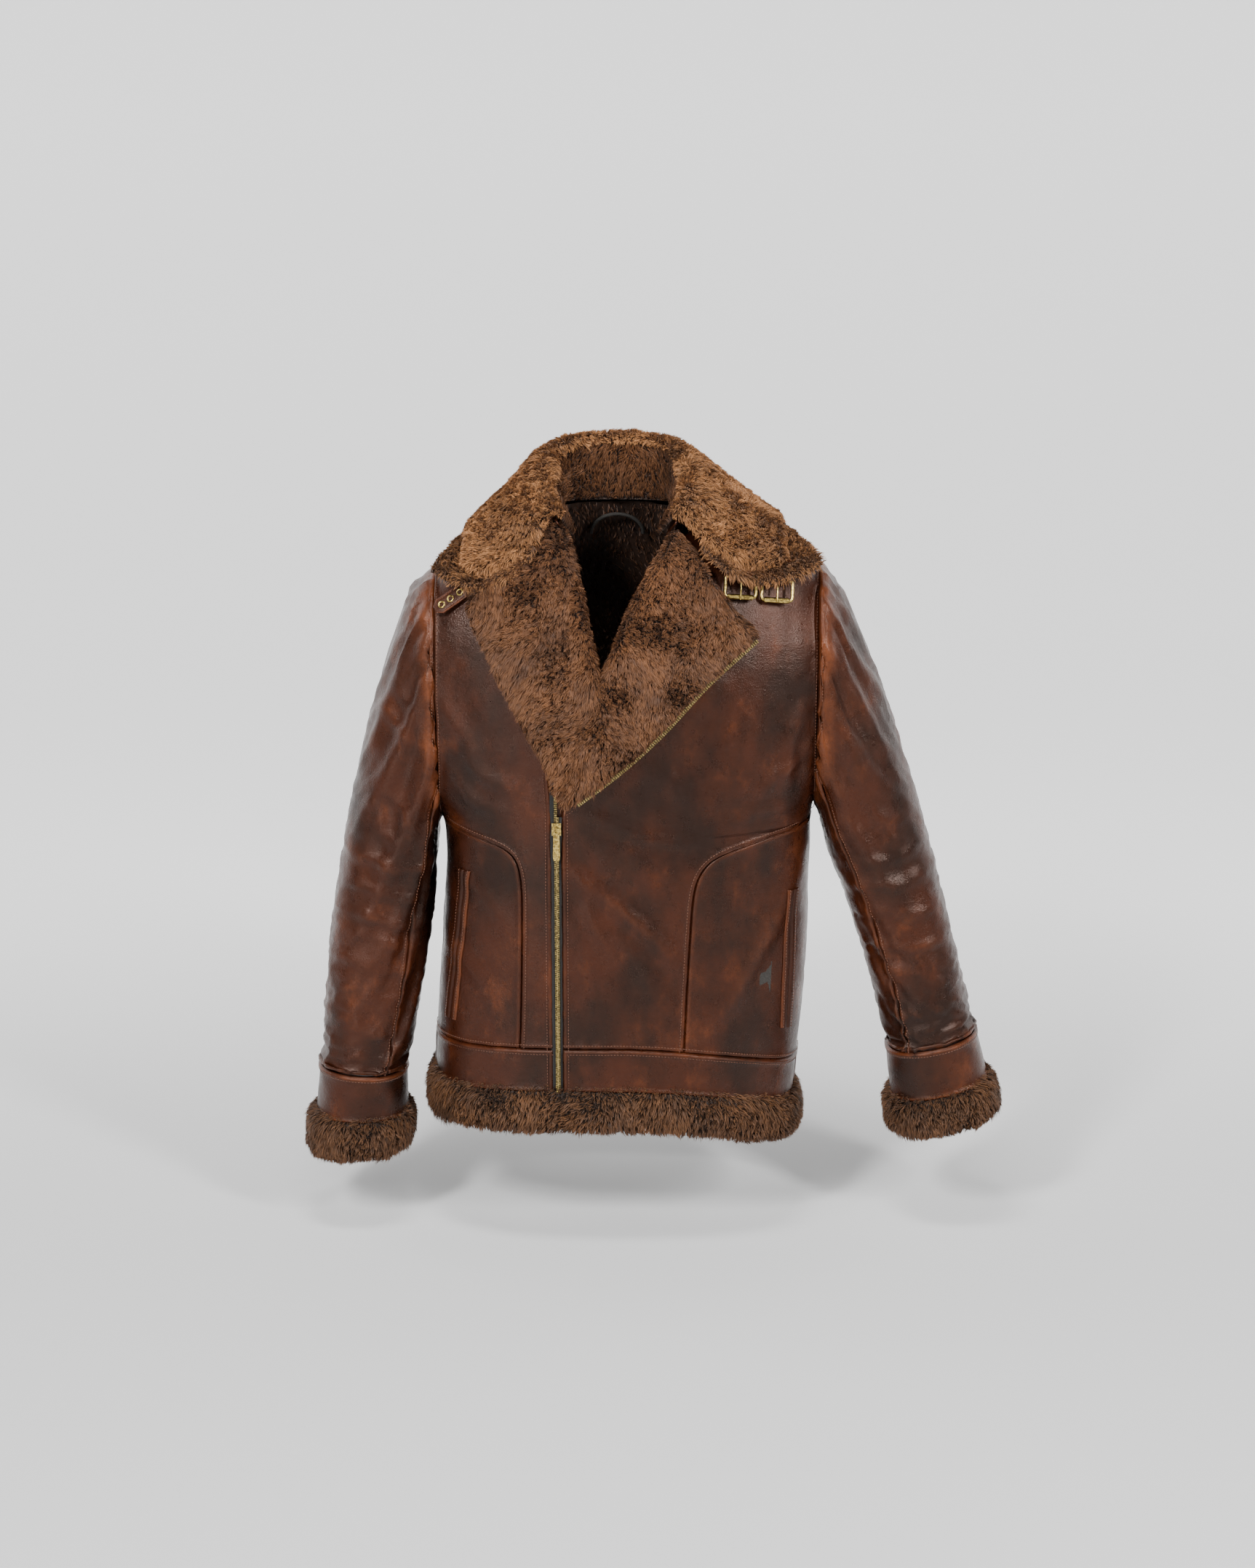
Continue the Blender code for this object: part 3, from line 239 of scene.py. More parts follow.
def resample(grid, places, periodic=False):
    """Rows of a grid read at fractional row numbers along smooth curves."""
    count = len(grid)
    low = np.floor(places).astype(int)
    if not periodic:
        low = np.clip(low, 0, count - 2)
    t = (places - low).reshape((-1,) + (1,) * (grid.ndim - 1))

    def row(k):
        return grid[k % count] if periodic else grid[np.clip(k, 0, count - 1)]

    a, b, c, d = row(low - 1), row(low), row(low + 1), row(low + 2)
    return b + 0.5 * t * (c - a + t * (2 * a - 5 * b + 4 * c - d + t * (3 * (b - c) + d - a)))


def resample_both(grid, rows, columns, periodic=False):
    tall = resample(grid, rows)
    return np.swapaxes(resample(np.swapaxes(tall, 0, 1), columns, periodic), 0, 1)


def fine_ends(length, step, low=True, high=True):
    """Shares of a length in even steps, with finer steps at seamed ends."""
    close = np.array((0.0, 0.0007, 0.0014, 0.0022, 0.0032, 0.0044, 0.006, 0.008))
    ends = np.array([0.0, 0.0]) + (close[-1] if low else 0, close[-1] if high else 0)
    middle = np.linspace(ends[0], length - ends[1], max(int((length - ends.sum()) / step), 2) + 1)
    parts = [close[:-1]] if low else []
    parts.append(middle)
    if high:
        parts.append(length - close[:-1][::-1])
    return np.concatenate(parts) / length


# ---- objects ------------------------------------------------------------------------------------
def linked(name, data):
    obj = bpy.data.objects.new(name, data)
    bpy.context.scene.collection.objects.link(obj)
    return obj


def make_mesh(name, points, faces, material, slot, body, replaced=(), attributes=None, bent=False):
    """An object from arrays of points and of triangles or quads, riding on a CAD body."""
    mesh = bpy.data.meshes.new(name)
    points = np.asarray(points, np.float32).reshape(-1, 3)
    faces = [np.asarray(part, np.int32) for part in (faces if isinstance(faces, list) else [faces])]
    mesh.vertices.add(len(points))
    mesh.vertices.foreach_set("co", points.ravel())
    loops = np.concatenate([part.ravel() for part in faces])
    sizes = np.concatenate([np.full(len(part), part.shape[1]) for part in faces])
    mesh.loops.add(len(loops))
    mesh.loops.foreach_set("vertex_index", loops)
    mesh.polygons.add(len(sizes))
    mesh.polygons.foreach_set("loop_start", np.concatenate(([0], np.cumsum(sizes)[:-1])).astype(np.int32))
    mesh.update(calc_edges=True)
    for key, values in (attributes or {}).items():
        layer = mesh.attributes.new(key, "FLOAT", "POINT")
        layer.data.foreach_set("value", np.asarray(values, np.float32).ravel())
    mesh.materials.append(material)
    mesh.shade_smooth()
    obj = linked(name, mesh)
    if body and not bent:
        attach(obj, body)
    if replaced:
        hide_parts(*replaced)
    return obj


def grid_faces(rows, columns, closed=False, start=0):
    i, j = np.meshgrid(np.arange(rows - 1), np.arange(columns if closed else columns - 1), indexing="ij")
    right = (j + 1) % columns
    low, high = i * columns, (i + 1) * columns
    faces = np.stack((low + j, low + right, high + right, high + j), -1)
    return faces.reshape(-1, 4) + start


def solid_grid(name, grid, wall, material, slot, body, replaced=(), closed=False, attributes=None,
               bent=False):
    """A sheet with a wall: outer grid, inner grid and closed rims."""
    rows, columns = grid.shape[:2]
    inner = grid - normals_of(grid, closed) * wall
    points = np.concatenate((grid.reshape(-1, 3), inner.reshape(-1, 3)))
    count = rows * columns
    faces = [grid_faces(rows, columns, closed), grid_faces(rows, columns, closed, count)[:, ::-1]]
    index = np.arange(count).reshape(rows, columns)
    rims = [(index[0], False), (index[-1], True)]
    if not closed:
        rims += [(index[:, 0], True), (index[:, -1], False)]
    for rim, turned in rims:
        after = np.roll(rim, -1) if closed else rim[1:]
        before = rim if closed else rim[:-1]
        quad = np.stack((before, before + count, after + count, after), -1)
        faces.append(quad[:, ::-1] if turned else quad)
    doubled = {key: np.concatenate((np.ravel(v), np.ravel(v))) for key, v in (attributes or {}).items()}
    return make_mesh(name, points, np.concatenate(faces), material, slot, body, replaced, doubled, bent)


def leather(name, grid, wall, body, replaced, wear, material=None, closed=False):
    """A leather piece from a grid, with its wear as one number or one for each point."""
    values = {"wear": np.broadcast_to(wear, grid.shape[:2])}
    solid_grid(name, grid, wall, material or TRIM, "leather", body, replaced, closed, values)


def tube_arrays(path, radius, sides=8, closed=False):
    """Points and quads of a round tube along a path."""
    path = np.asarray(path, float)
    if closed:
        along = unit(np.roll(path, -1, 0) - np.roll(path, 1, 0))
    else:
        along = unit(np.gradient(path, axis=0))
    seed = np.array((0.31, 0.17, 0.93))
    first = unit(np.cross(along, seed))
    second = np.cross(along, first)
    turn = np.arange(sides) * 2 * math.pi / sides
    ring = first[:, None] * np.cos(turn)[None, :, None] + second[:, None] * np.sin(turn)[None, :, None]
    radius = np.broadcast_to(np.asarray(radius, float), (len(path),))
    points = path[:, None] + ring * radius[:, None, None]
    rows = len(path)
    faces = grid_faces(rows, sides, True)
    if closed:
        low, high = np.arange(sides) + (rows - 1) * sides, np.arange(sides)
        faces = np.concatenate((faces, np.stack((low, np.roll(low, -1), np.roll(high, -1), high), -1)))
    return points.reshape(-1, 3), faces


class Pile:
    """Points and faces of many small shapes gathered into one object."""

    def __init__(self):
        self.points, self.faces, self.count = [], [], 0

    def add(self, points, faces):
        self.points.append(np.asarray(points, float).reshape(-1, 3))
        self.faces.append(np.asarray(faces) + self.count)
        self.count += len(self.points[-1])

    def add_boxes(self, centres, x, y, z, sizes):
        """Boxes at centres with axes x, y, z (arrays) and half sizes."""
        corners = np.array([(a, b, c) for a in (-1, 1) for b in (-1, 1) for c in (-1, 1)], float)
        offsets = corners * np.asarray(sizes)
        points = (centres[:, None] + x[:, None] * offsets[None, :, 0:1] + y[:, None] * offsets[None, :, 1:2]
                  + z[:, None] * offsets[None, :, 2:3])
        quads = np.array(((0, 1, 3, 2), (4, 6, 7, 5), (0, 4, 5, 1), (2, 3, 7, 6), (0, 2, 6, 4), (1, 5, 7, 3)))
        faces = quads[None] + (np.arange(len(centres)) * 8)[:, None, None]
        self.add(points, faces.reshape(-1, 4))

    def make(self, name, material, slot, body, replaced=(), flat=False):
        obj = make_mesh(name, np.concatenate(self.points), np.concatenate(self.faces), material, slot, body,
                        replaced)
        if flat:
            obj.data.shade_flat()
        return obj


# ---- materials ----------------------------------------------------------------------------------
class Graph:
    """The nodes of one new material; inputs take sockets, numbers or colours."""

    def __init__(self, name):
        self.material = bpy.data.materials.new(name)
        self.material.use_nodes = True
        self.nodes, self.links = self.material.node_tree.nodes, self.material.node_tree.links
        self.shader = self.nodes["Principled BSDF"]

    def feed(self, socket, value):
        if isinstance(value, bpy.types.NodeSocket):
            self.links.new(value, socket)
        else:
            socket.default_value = (*value, 1) if isinstance(value, tuple) else value

    def set(self, **values):
        """Feed inputs of the shader, named with _ for each space."""
        for key, value in values.items():
            self.feed(self.shader.inputs[key.replace("_", " ")], value)

    def attribute(self, name):
        node = self.nodes.new("ShaderNodeAttribute")
        node.attribute_name = name
        return node.outputs["Fac"]

    def texture(self, kind, scale, detail=2.0, stretch=(1, 1, 1), rough=0.5):
        place, mapping = self.nodes.new("ShaderNodeTexCoord"), self.nodes.new("ShaderNodeMapping")
        mapping.inputs["Scale"].default_value = stretch
        made = self.nodes.new(kind)
        for key, value in (("Scale", scale), ("Detail", detail), ("Roughness", rough)):
            if key in made.inputs:
                made.inputs[key].default_value = value
        self.links.new(place.outputs["Object"], mapping.inputs["Vector"])
        self.links.new(mapping.outputs["Vector"], made.inputs["Vector"])
        return made.outputs

    def noise(self, *settings):
        return self.texture("ShaderNodeTexNoise", *settings)["Fac"]

    def ramp(self, source, low, high):
        node = self.nodes.new("ShaderNodeMapRange")
        node.interpolation_type = "SMOOTHSTEP"
        node.inputs["From Min"].default_value = low
        node.inputs["From Max"].default_value = high
        self.links.new(source, node.inputs["Value"])
        return node.outputs["Result"]

    def mix(self, share, first, second):
        """Colour between two colours."""
        node = self.nodes.new("ShaderNodeMix")
        node.data_type = "RGBA"
        for index, value in ((0, share), (6, first), (7, second)):
            self.feed(node.inputs[index], value)
        return node.outputs[2]

    def maths(self, kind, first, second):
        node = self.nodes.new("ShaderNodeMath")
        node.operation = kind
        node.use_clamp = kind == "ADD"
        self.feed(node.inputs[0], first)
        self.feed(node.inputs[1], second)
        return node.outputs[0]

    def times(self, first, second):
        return self.maths("MULTIPLY", first, second)

    def plus(self, first, second):
        return self.maths("ADD", first, second)

    def bump(self, height, strength, distance):
        node = self.nodes.new("ShaderNodeBump")
        node.inputs["Strength"].default_value = strength
        node.inputs["Distance"].default_value = distance
        self.links.new(height, node.inputs["Height"])
        self.links.new(node.outputs["Normal"], self.shader.inputs["Normal"])


def leather_material(name, mid=(0.034, 0.0078, 0.0026), rough=0.25):
    """Dark leather with lighter patches, rubbed through where the wear attribute is high."""
    dark, rubbed = (0.0075, 0.0026, 0.0014), (0.112, 0.029, 0.0085)
    g = Graph(name)
    wear = g.attribute("wear")
    big = g.noise(8.0, 5.0, (1.3, 1.3, 0.8), 0.6)
    streak = g.noise(28.0, 8.0, (1.2, 1.2, 0.75), 0.72)
    fleck = g.noise(230.0, 4.0, (1, 1, 0.9), 0.6)
    scuff = g.noise(60.0, 6.0, (1.2, 1.2, 0.9), 0.66)
    tone = g.times(g.ramp(big, 0.34, 0.64), g.ramp(scuff, -0.25, 0.6))
    patch = g.times(g.times(g.ramp(streak, 0.5, 0.72), 0.55), g.ramp(big, 0.38, 0.62))
    rub = g.times(wear, g.ramp(streak, 0.26, 0.6))
    amount = g.times(g.plus(patch, rub), g.ramp(fleck, -0.1, 0.6))
    gloss = g.times(g.ramp(scuff, 0.3, 0.7), 0.13)
    g.set(Base_Color=g.mix(amount, g.mix(tone, dark, mid), rubbed), Roughness=g.plus(gloss, rough),
          Specular_IOR_Level=0.4, Specular_Tint=(0.8, 0.58, 0.5))
    grain = g.texture("ShaderNodeTexVoronoi", 560.0)["Distance"]
    crease = g.noise(95.0, 7.0, (1, 1, 1.5), 0.68)
    g.bump(g.plus(g.times(grain, 0.12), g.times(crease, 0.5)), 0.7, 0.0019)
    return g.material


def fur_material(name, root, tip):
    """Fur that runs from a dark root colour to the tip colour, darker where the tone attribute is low; the
    dark roots are partly the fur's own colour and partly painted shade inside the pile.
    """
    g = Graph(name)
    colour = g.mix(g.attribute("tip"), root, tip)
    light = g.times(g.attribute("tone"), g.ramp(g.noise(22.0, 3.0), -0.3, 0.6))
    colour = g.mix(light, tuple(value * 0.35 for value in root), colour)
    g.set(Base_Color=colour, Roughness=0.62, Specular_IOR_Level=0.35, Sheen_Weight=0.06, Sheen_Roughness=0.5)
    return g.material


def plain_material(name, colour, rough, metal=0.0, grain=0.0, size=300.0, dark=None):
    g = Graph(name)
    spots = g.noise(size, 4.0)
    dark = dark or tuple(value * 0.55 for value in colour)
    g.set(Roughness=rough, Metallic=metal, Base_Color=g.mix(g.ramp(spots, 0.35, 0.62), dark, colour))
    if grain:
        g.bump(spots, grain, 0.0006)
    return g.material


HIDE = leather_material("worn_leather")
TRIM = leather_material("trim_leather", mid=(0.03, 0.0075, 0.003), rough=0.28)
THREAD = plain_material("thread", (0.13, 0.048, 0.024), 0.65, size=900.0)
# Collar fur is painted lighter and lapel, stand, lining and hem fur darker: partly their own colours, partly
# painted top light on the collar and painted shade on the rest.
FUR_PALE_AND_TOPLIT = fur_material("collar_fur", (0.07, 0.027, 0.009), (0.43, 0.185, 0.062))
FUR_DARK_AND_SHADED = fur_material("lapel_fur", (0.028, 0.0095, 0.0028), (0.205, 0.076, 0.022))
FUR_HEM = fur_material("hem_fur", (0.024, 0.009, 0.0029), (0.185, 0.073, 0.022))
BRASS = plain_material("antique_brass", (0.6, 0.44, 0.13), 0.3, 1.0, 0.1, 420.0, (0.21, 0.14, 0.045))
TEETH = plain_material("zip_brass", (0.42, 0.31, 0.12), 0.36, 1.0, 0.0, 500.0, (0.12, 0.085, 0.035))
TAPE = plain_material("zip_tape", (0.012, 0.011, 0.01), 0.85, 0.0, 0.5, 1400.0)
COTTON = plain_material("cotton", (0.03, 0.026, 0.022), 0.9, 0.0, 0.5, 900.0)


# ---- leather panels -----------------------------------------------------------------------------
ALL_STITCHES, CAP_STITCHES = [], {}  # stitch lines left for the end, and those of each armhole
# soft folds as (x, z) to (x, z), half width and height; front and back of the body
FRONT_FOLDS = (
    ((-0.057, -0.394), (0.077, -0.529), 0.012, 0.0046), ((-0.047, -0.41), (0.002, -0.521), 0.009, 0.0026),
    ((-0.045, -0.344), (0.083, -0.376), 0.0085, 0.003), ((-0.027, -0.452), (0.059, -0.568), 0.013, 0.0028),
    ((-0.171, -0.281), (-0.117, -0.319), 0.01, 0.004), ((-0.19, -0.31), (-0.13, -0.345), 0.009, 0.0032),
    ((0.208, -0.232), (0.179, -0.331), 0.011, 0.0044), ((0.215, -0.276), (0.155, -0.331), 0.009, 0.0036),
    ((0.213, -0.332), (0.13, -0.356), 0.008, 0.0034), ((0.21, -0.401), (0.133, -0.568), 0.015, 0.0036),
    ((0.185, -0.48), (0.1, -0.6), 0.012, 0.0026), ((-0.19, -0.5), (-0.13, -0.59), 0.012, 0.0028),
    ((-0.18, -0.4), (-0.128, -0.48), 0.011, 0.0026), ((-0.198, -0.2), (-0.16, -0.29), 0.011, 0.0034),
    ((0.03, -0.25), (0.13, -0.19), 0.026, 0.003), ((0.1, -0.33), (0.02, -0.29), 0.016, 0.0022),
)
SLEEVE_FOLDS = (
    ((-0.264, -0.237), (-0.2, -0.282), 0.0095, 0.0046), ((-0.255, -0.205), (-0.215, -0.25), 0.008, 0.0028),
    ((-0.28, -0.345), (-0.246, -0.394), 0.0085, 0.0034), ((-0.262, -0.33), (-0.222, -0.372), 0.0075, 0.0026),
    ((-0.302, -0.409), (-0.205, -0.418), 0.0085, 0.0044), ((-0.31, -0.443), (-0.21, -0.455), 0.008, 0.0042),
    ((-0.317, -0.474), (-0.22, -0.486), 0.0078, 0.0036), ((-0.3, -0.5), (-0.225, -0.515), 0.007, 0.0028),
    ((-0.322, -0.53), (-0.23, -0.543), 0.0085, 0.0034), ((-0.328, -0.601), (-0.242, -0.622), 0.0085, 0.003),
    ((-0.33, -0.566), (-0.26, -0.572), 0.007, 0.0022), ((-0.338, -0.64), (-0.27, -0.65), 0.007, 0.0024),
    ((0.232, -0.3), (0.281, -0.349), 0.009, 0.0036), ((0.286, -0.366), (0.331, -0.357), 0.008, 0.003),
    ((0.265, -0.42), (0.345, -0.393), 0.0085, 0.0046), ((0.275, -0.447), (0.359, -0.422), 0.0085, 0.0046),
    ((0.29, -0.478), (0.366, -0.462), 0.008, 0.0034), ((0.288, -0.52), (0.38, -0.499), 0.0085, 0.0042),
    ((0.3, -0.552), (0.385, -0.537), 0.0075, 0.0028), ((0.305, -0.603), (0.39, -0.58), 0.0085, 0.0038),
    ((0.318, -0.628), (0.4, -0.606), 0.007, 0.0026), ((0.25, -0.245), (0.292, -0.29), 0.01, 0.0024),
)
BACK_FOLDS = (
    ((0.21, -0.34), (0.11, -0.3), 0.013, 0.004), ((-0.195, -0.34), (-0.1, -0.295), 0.013, 0.004),
    ((0.2, -0.24), (0.13, -0.33), 0.014, 0.0036), ((-0.19, -0.24), (-0.12, -0.33), 0.014, 0.0036),
    ((0.15, -0.42), (0.06, -0.6), 0.018, 0.0032), ((-0.15, -0.43), (-0.07, -0.6), 0.018, 0.0032),
    ((0.01, -0.33), (0.000, -0.59), 0.022, 0.0026), ((0.1, -0.52), (-0.09, -0.56), 0.013, 0.0028),
)


def swell(points):
    """Height of the leather's soft folds over the plain body at points."""
    high = 0.0024 * noise(points, (0.085, 0.12, 0.15), 3) + 0.0011 * noise(points, (0.034, 0.05, 0.06), 4)
    high = high + 0.00045 * noise(points, (0.012, 0.02, 0.018), 5)
    front = points[..., 1] < 0
    return high + 1.45 * ridges(points, FRONT_FOLDS) * front + ridges(points, BACK_FOLDS) * ~front


def ridges(points, folds):
    """Height of the long folds in a list over points, each fading at both ends."""
    high = 0.0
    for start, end, width, height in folds:
        a, b = np.array(start), np.array(end)
        flat = points[..., (0, 2)] - a
        run = b - a
        share = np.clip((flat @ run) / (run @ run), 0, 1)
        bend = 0.005 * np.sin(share * 5 + width * 900)
        side = np.array((-run[1], run[0])) / np.linalg.norm(run)
        away = np.linalg.norm(flat - share[..., None] * run - side * bend[..., None], axis=-1)
        ridge = np.exp(-((away / width) ** 2)) - 0.55 * np.exp(-((away / (2.0 * width)) ** 2))
        high = high + height * ridge * np.sin(math.pi * np.clip(share, 0.04, 0.96)) ** 0.5
    return high


def seam_profile(away, ridge=0.001):
    """Groove at a seam and the padded ridge beside it."""
    return -0.0017 * np.exp(-((away / 0.0011) ** 2)) + ridge * np.exp(-(((away - 0.0036) / 0.0026) ** 2))


def to_line(points, line):
    """Distance of each point of a grid from the nearest point of a line."""
    flat = points.reshape(-1, 3)
    best = np.full(len(flat), 9.0)
    for start in range(0, len(flat), 4000):
        part = flat[start:start + 4000]
        best[start:start + 4000] = np.sqrt(((part[:, None] - line[None]) ** 2).sum(-1).min(1))
    return best.reshape(points.shape[:-1])


PUCKER = 0.0007
ALL = slice(None)
EDGES = {"left": (ALL, 0), "right": (ALL, -1), "low": (0, ALL), "high": (-1, ALL)}


class Panel:
    """One leather panel: a base grid with folds, seamed edges, wear and stitching."""

    def __init__(self, grid, seams, ridge=0.001, folds=None):
        self.base, self.normal = grid, normals_of(grid)
        self.folds = swell(grid) if folds is None else folds
        away = np.full(grid.shape[:2], 9.0)
        for edge in seams:
            line = grid[EDGES[edge]]
            away = np.minimum(away, to_line(grid, line))
        ripple = PUCKER * noise(grid, 0.0075, 8) * np.exp(-away / 0.009)
        lift = self.folds + seam_profile(away, ridge) + ripple
        self.grid = grid + self.normal * lift[..., None]
        crest = np.clip((self.folds - 0.0012) / 0.004, 0, 1) + np.clip(ripple / 0.0006, 0, 1) * 0.5
        self.wear = np.clip(0.26 * np.exp(-(((away - 0.003) / 0.0016) ** 2)) + 0.5 * crest, 0, 1)

    def make(self, name, body, replaced):
        leather(name, self.grid, PANEL_WALL, body, replaced, self.wear, HIDE)

    def stitch_line(self, edge, inset, lift=0.0006):
        """Path for stitches at a distance inside one edge, with its normals."""
        cut = EDGES[edge]
        line, normal = self.base[cut], self.normal[cut]
        along = unit(np.gradient(line, axis=0))
        turn = {"left": -1, "right": 1, "low": 1, "high": -1}[edge]
        inward = np.cross(normal, along) * turn
        rise = self.folds[cut] + seam_profile(np.full(len(line), inset)) + lift
        return line + inward * inset + normal * rise[:, None], normal


def even(line, normal, pitch):
    """Points, directions and normals at an even pitch along a line."""
    run = np.concatenate(([0], np.cumsum(np.linalg.norm(np.diff(line, axis=0), axis=1))))
    places = np.arange(pitch / 2, run[-1], pitch)

    def read(values, at):
        return np.stack([np.interp(at, run, values[:, k]) for k in range(3)], -1)

    along = unit(read(line, places + 0.001) - read(line, places - 0.001))
    return read(line, places), along, unit(read(normal, places))


def stitches(name, lines, body, pitch=0.0036, length=0.0025, radius=0.00048):
    """Rows of thread as short rounded bars; lines are (points, normals)."""
    pile = Pile()
    shape = np.array(((-1.0, 0.25), (-0.55, 1.0), (0.55, 1.0), (1.0, 0.25)))
    turn = np.arange(5) * 2 * math.pi / 5
    for line, normal in lines:
        at, along, out = even(np.asarray(line), np.asarray(normal), pitch)
        if not len(at):
            continue
        across = unit(np.cross(out, along))
        rings = []
        for place, size in shape:
            centre = at + along * place * length / 2 + out * (0.0003 * size - 0.0002)
            ring = across[:, None] * np.cos(turn)[:, None] + out[:, None] * np.sin(turn)[:, None]
            rings.append(centre[:, None] + ring * radius * size)
        points = np.stack(rings, 1)
        quads = grid_faces(4, 5, True)
        faces = quads[None] + (np.arange(len(at)) * 20)[:, None, None]
        pile.add(points, faces.reshape(-1, 4))
    return pile.make(name, THREAD, "leather", body)


def even_row(start, end, z_start, z_end, shares):
    """Body points at shares of the length between two angles and heights."""
    fine = np.linspace(0, 1, 400)
    points = body_point(start + (end - start) * fine, z_start + (z_end - z_start) * fine)
    run = np.concatenate(([0], np.cumsum(np.linalg.norm(np.diff(points, axis=0), axis=1))))
    at = np.interp(np.asarray(shares) * run[-1], run, fine)
    return skin(start + (end - start) * at, z_start + (z_end - z_start) * at, np.zeros(len(at)))


def dense(table, step=0.004, low=False, high=False):
    """A line of (x, z) points read at an even step along it."""
    table = np.array(table, float)
    run = np.concatenate(([0], np.cumsum(np.linalg.norm(np.diff(table, axis=0), axis=1))))
    rows = list(zip(run, [tuple(point) for point in table]))
    shares = fine_ends(run[-1], step, low, high)
    return spline(rows, shares * run[-1])


def line_x(table, z):
    rows = [(point[1], point[0]) for point in table]
    return spline(rows, z)


def rows_between(ends, shares, swapped=False):
    """Grid from rows given by (left angle, left z, right angle, right z), or the right end first."""
    if swapped:
        ends = [(c, d, a, b) for a, b, c, d in ends]
    return np.stack([even_row(a, b, za, zb, shares) for a, za, b, zb in ends])


def zip_line(side):
    return ZIP_X + side * ZIP_HALF


def torso():
    for word, side in (("right", -1), ("left", 1)):
        seam = dense(SIDE_SEAM[side], 0.0045, True, False)
        ends = []
        for x, z in seam:
            outer = float(theta_at(x, z))
            ends.append((outer, z, float(theta_at(zip_line(side), z)), z))
        levels = -0.366 + (NECK_TOP + 0.366) * fine_ends(0.352, 0.0055, False, False)
        fold = FOLD_EDGE[side]
        for z in levels:
            x = zip_line(side) if z < fold[0][1] else float(line_x(fold, z))
            ends.append((float(side_angle(z, side)), z, float(theta_at(x, z)), z))
        width = 0.17 if side < 0 else 0.3
        grid = rows_between(ends, fine_ends(width, 0.0048), side > 0)
        panel = Panel(grid, ("left", "right", "low"), 0.0013)
        panel.make(word + "_front_leather", "jacket_body", (word + "_front_panel",))
        outer, inner = ("left", "right") if side < 0 else ("right", "left")
        ALL_STITCHES.append(panel.stitch_line(outer, 0.0052))
        ALL_STITCHES.append(panel.stitch_line(inner, 0.007))
        ALL_STITCHES.append(panel.stitch_line("low", 0.005))
        ends = []
        corner = np.array((side * half_width(-0.366, side > 0), -0.366))
        rest = seam[-1] + (corner - seam[-1]) * np.linspace(0.2, 0.98, 5)[:, None]
        for x, z in np.concatenate((seam, rest)):
            far = (float(side_angle(z - 0.001, side)), z - 0.001)
            ends.append((*far, float(theta_at(x, z)), z))
        grid = rows_between(ends, fine_ends(0.11, 0.0048), side > 0)
        panel = Panel(grid, ("left", "right", "low"), 0.0008)
        panel.make(word + "_side_leather", "jacket_body", (word + "_side_panel",))
        ALL_STITCHES.append(panel.stitch_line("low", 0.005))
        levels = LEATHER_END + (HEM_SEAM - LEATHER_END) * fine_ends(0.053, 0.0045)
        ends = [(float(side_angle(z, side)), z, float(theta_at(zip_line(side), z)), z) for z in levels]
        grid = rows_between(ends, fine_ends(width, 0.0048), side > 0)
        panel = Panel(grid, ("left", "right", "low", "high"), 0.002)
        panel.make(word + "_hem_leather", "jacket_body", (word + "_hem_band",))
        ALL_STITCHES.append(panel.stitch_line("high", 0.0062))
        ALL_STITCHES.append(panel.stitch_line(inner, 0.007))
    for low, high, name, node in ((HEM_SEAM, YOKE_SEAM, "back_leather", "back_panel"),
                                  (YOKE_SEAM, NECK_TOP, "yoke_leather", "back_yoke"),
                                  (LEATHER_END, HEM_SEAM, "back_hem_leather", "back_hem_band")):
        levels = low + (high - low) * fine_ends(high - low, 0.0055)
        ends = [(float(side_angle(z, 1, True)), z, float(side_angle(z, -1, True)), z) for z in levels]
        panel = Panel(rows_between(ends, fine_ends(0.43, 0.0055)), ("left", "right", "low", "high"), 0.0013)
        panel.make(name, "jacket_body", (node,))
        if node != "back_panel":
            ALL_STITCHES.append(panel.stitch_line("low" if node == "back_yoke" else "high", 0.0052))


# ---- sleeves ------------------------------------------------------------------------------------
def arm_ring(outer, inner, depth, middle, side, angle, lift=0.0, fullness=2.25):
    """Rings round the arm: one row for each pair of ends, one column for each angle."""
    top = np.stack((side * outer[:, 0], middle, outer[:, 1]), -1)
    low = np.stack((side * inner[:, 0], middle, inner[:, 1]), -1)
    centre, reach = (top + low) / 2, (top - low) / 2
    size = np.linalg.norm(reach, axis=1, keepdims=True)
    reach = reach / size * (size + np.reshape(lift, (-1, 1)) if np.ndim(lift) else size + lift)
    deep = depth + lift
    cosine, sine = np.cos(angle), np.sin(angle)
    power = 2 / np.broadcast_to(fullness, (len(outer),))[:, None]
    along = np.sign(cosine) * np.abs(cosine) ** power
    out = np.sign(sine) * np.abs(sine) ** power
    points = centre[:, None] + reach[:, None] * along[..., None]
    points[..., 1] -= np.reshape(deep, (-1, 1)) * out
    return points


def sleeve_rings(arm, t, angle, lift=0.0):
    outer = spline(list(zip(ARM_AT, arm["outer"])), t)
    inner = spline(list(zip(ARM_AT, arm["inner"])), t)
    return arm_ring(outer, inner, spline(SLEEVE_DEPTH, t), spline(SLEEVE_Y, t), arm["side"], angle, lift,
                    spline(SLEEVE_FULLNESS, t))


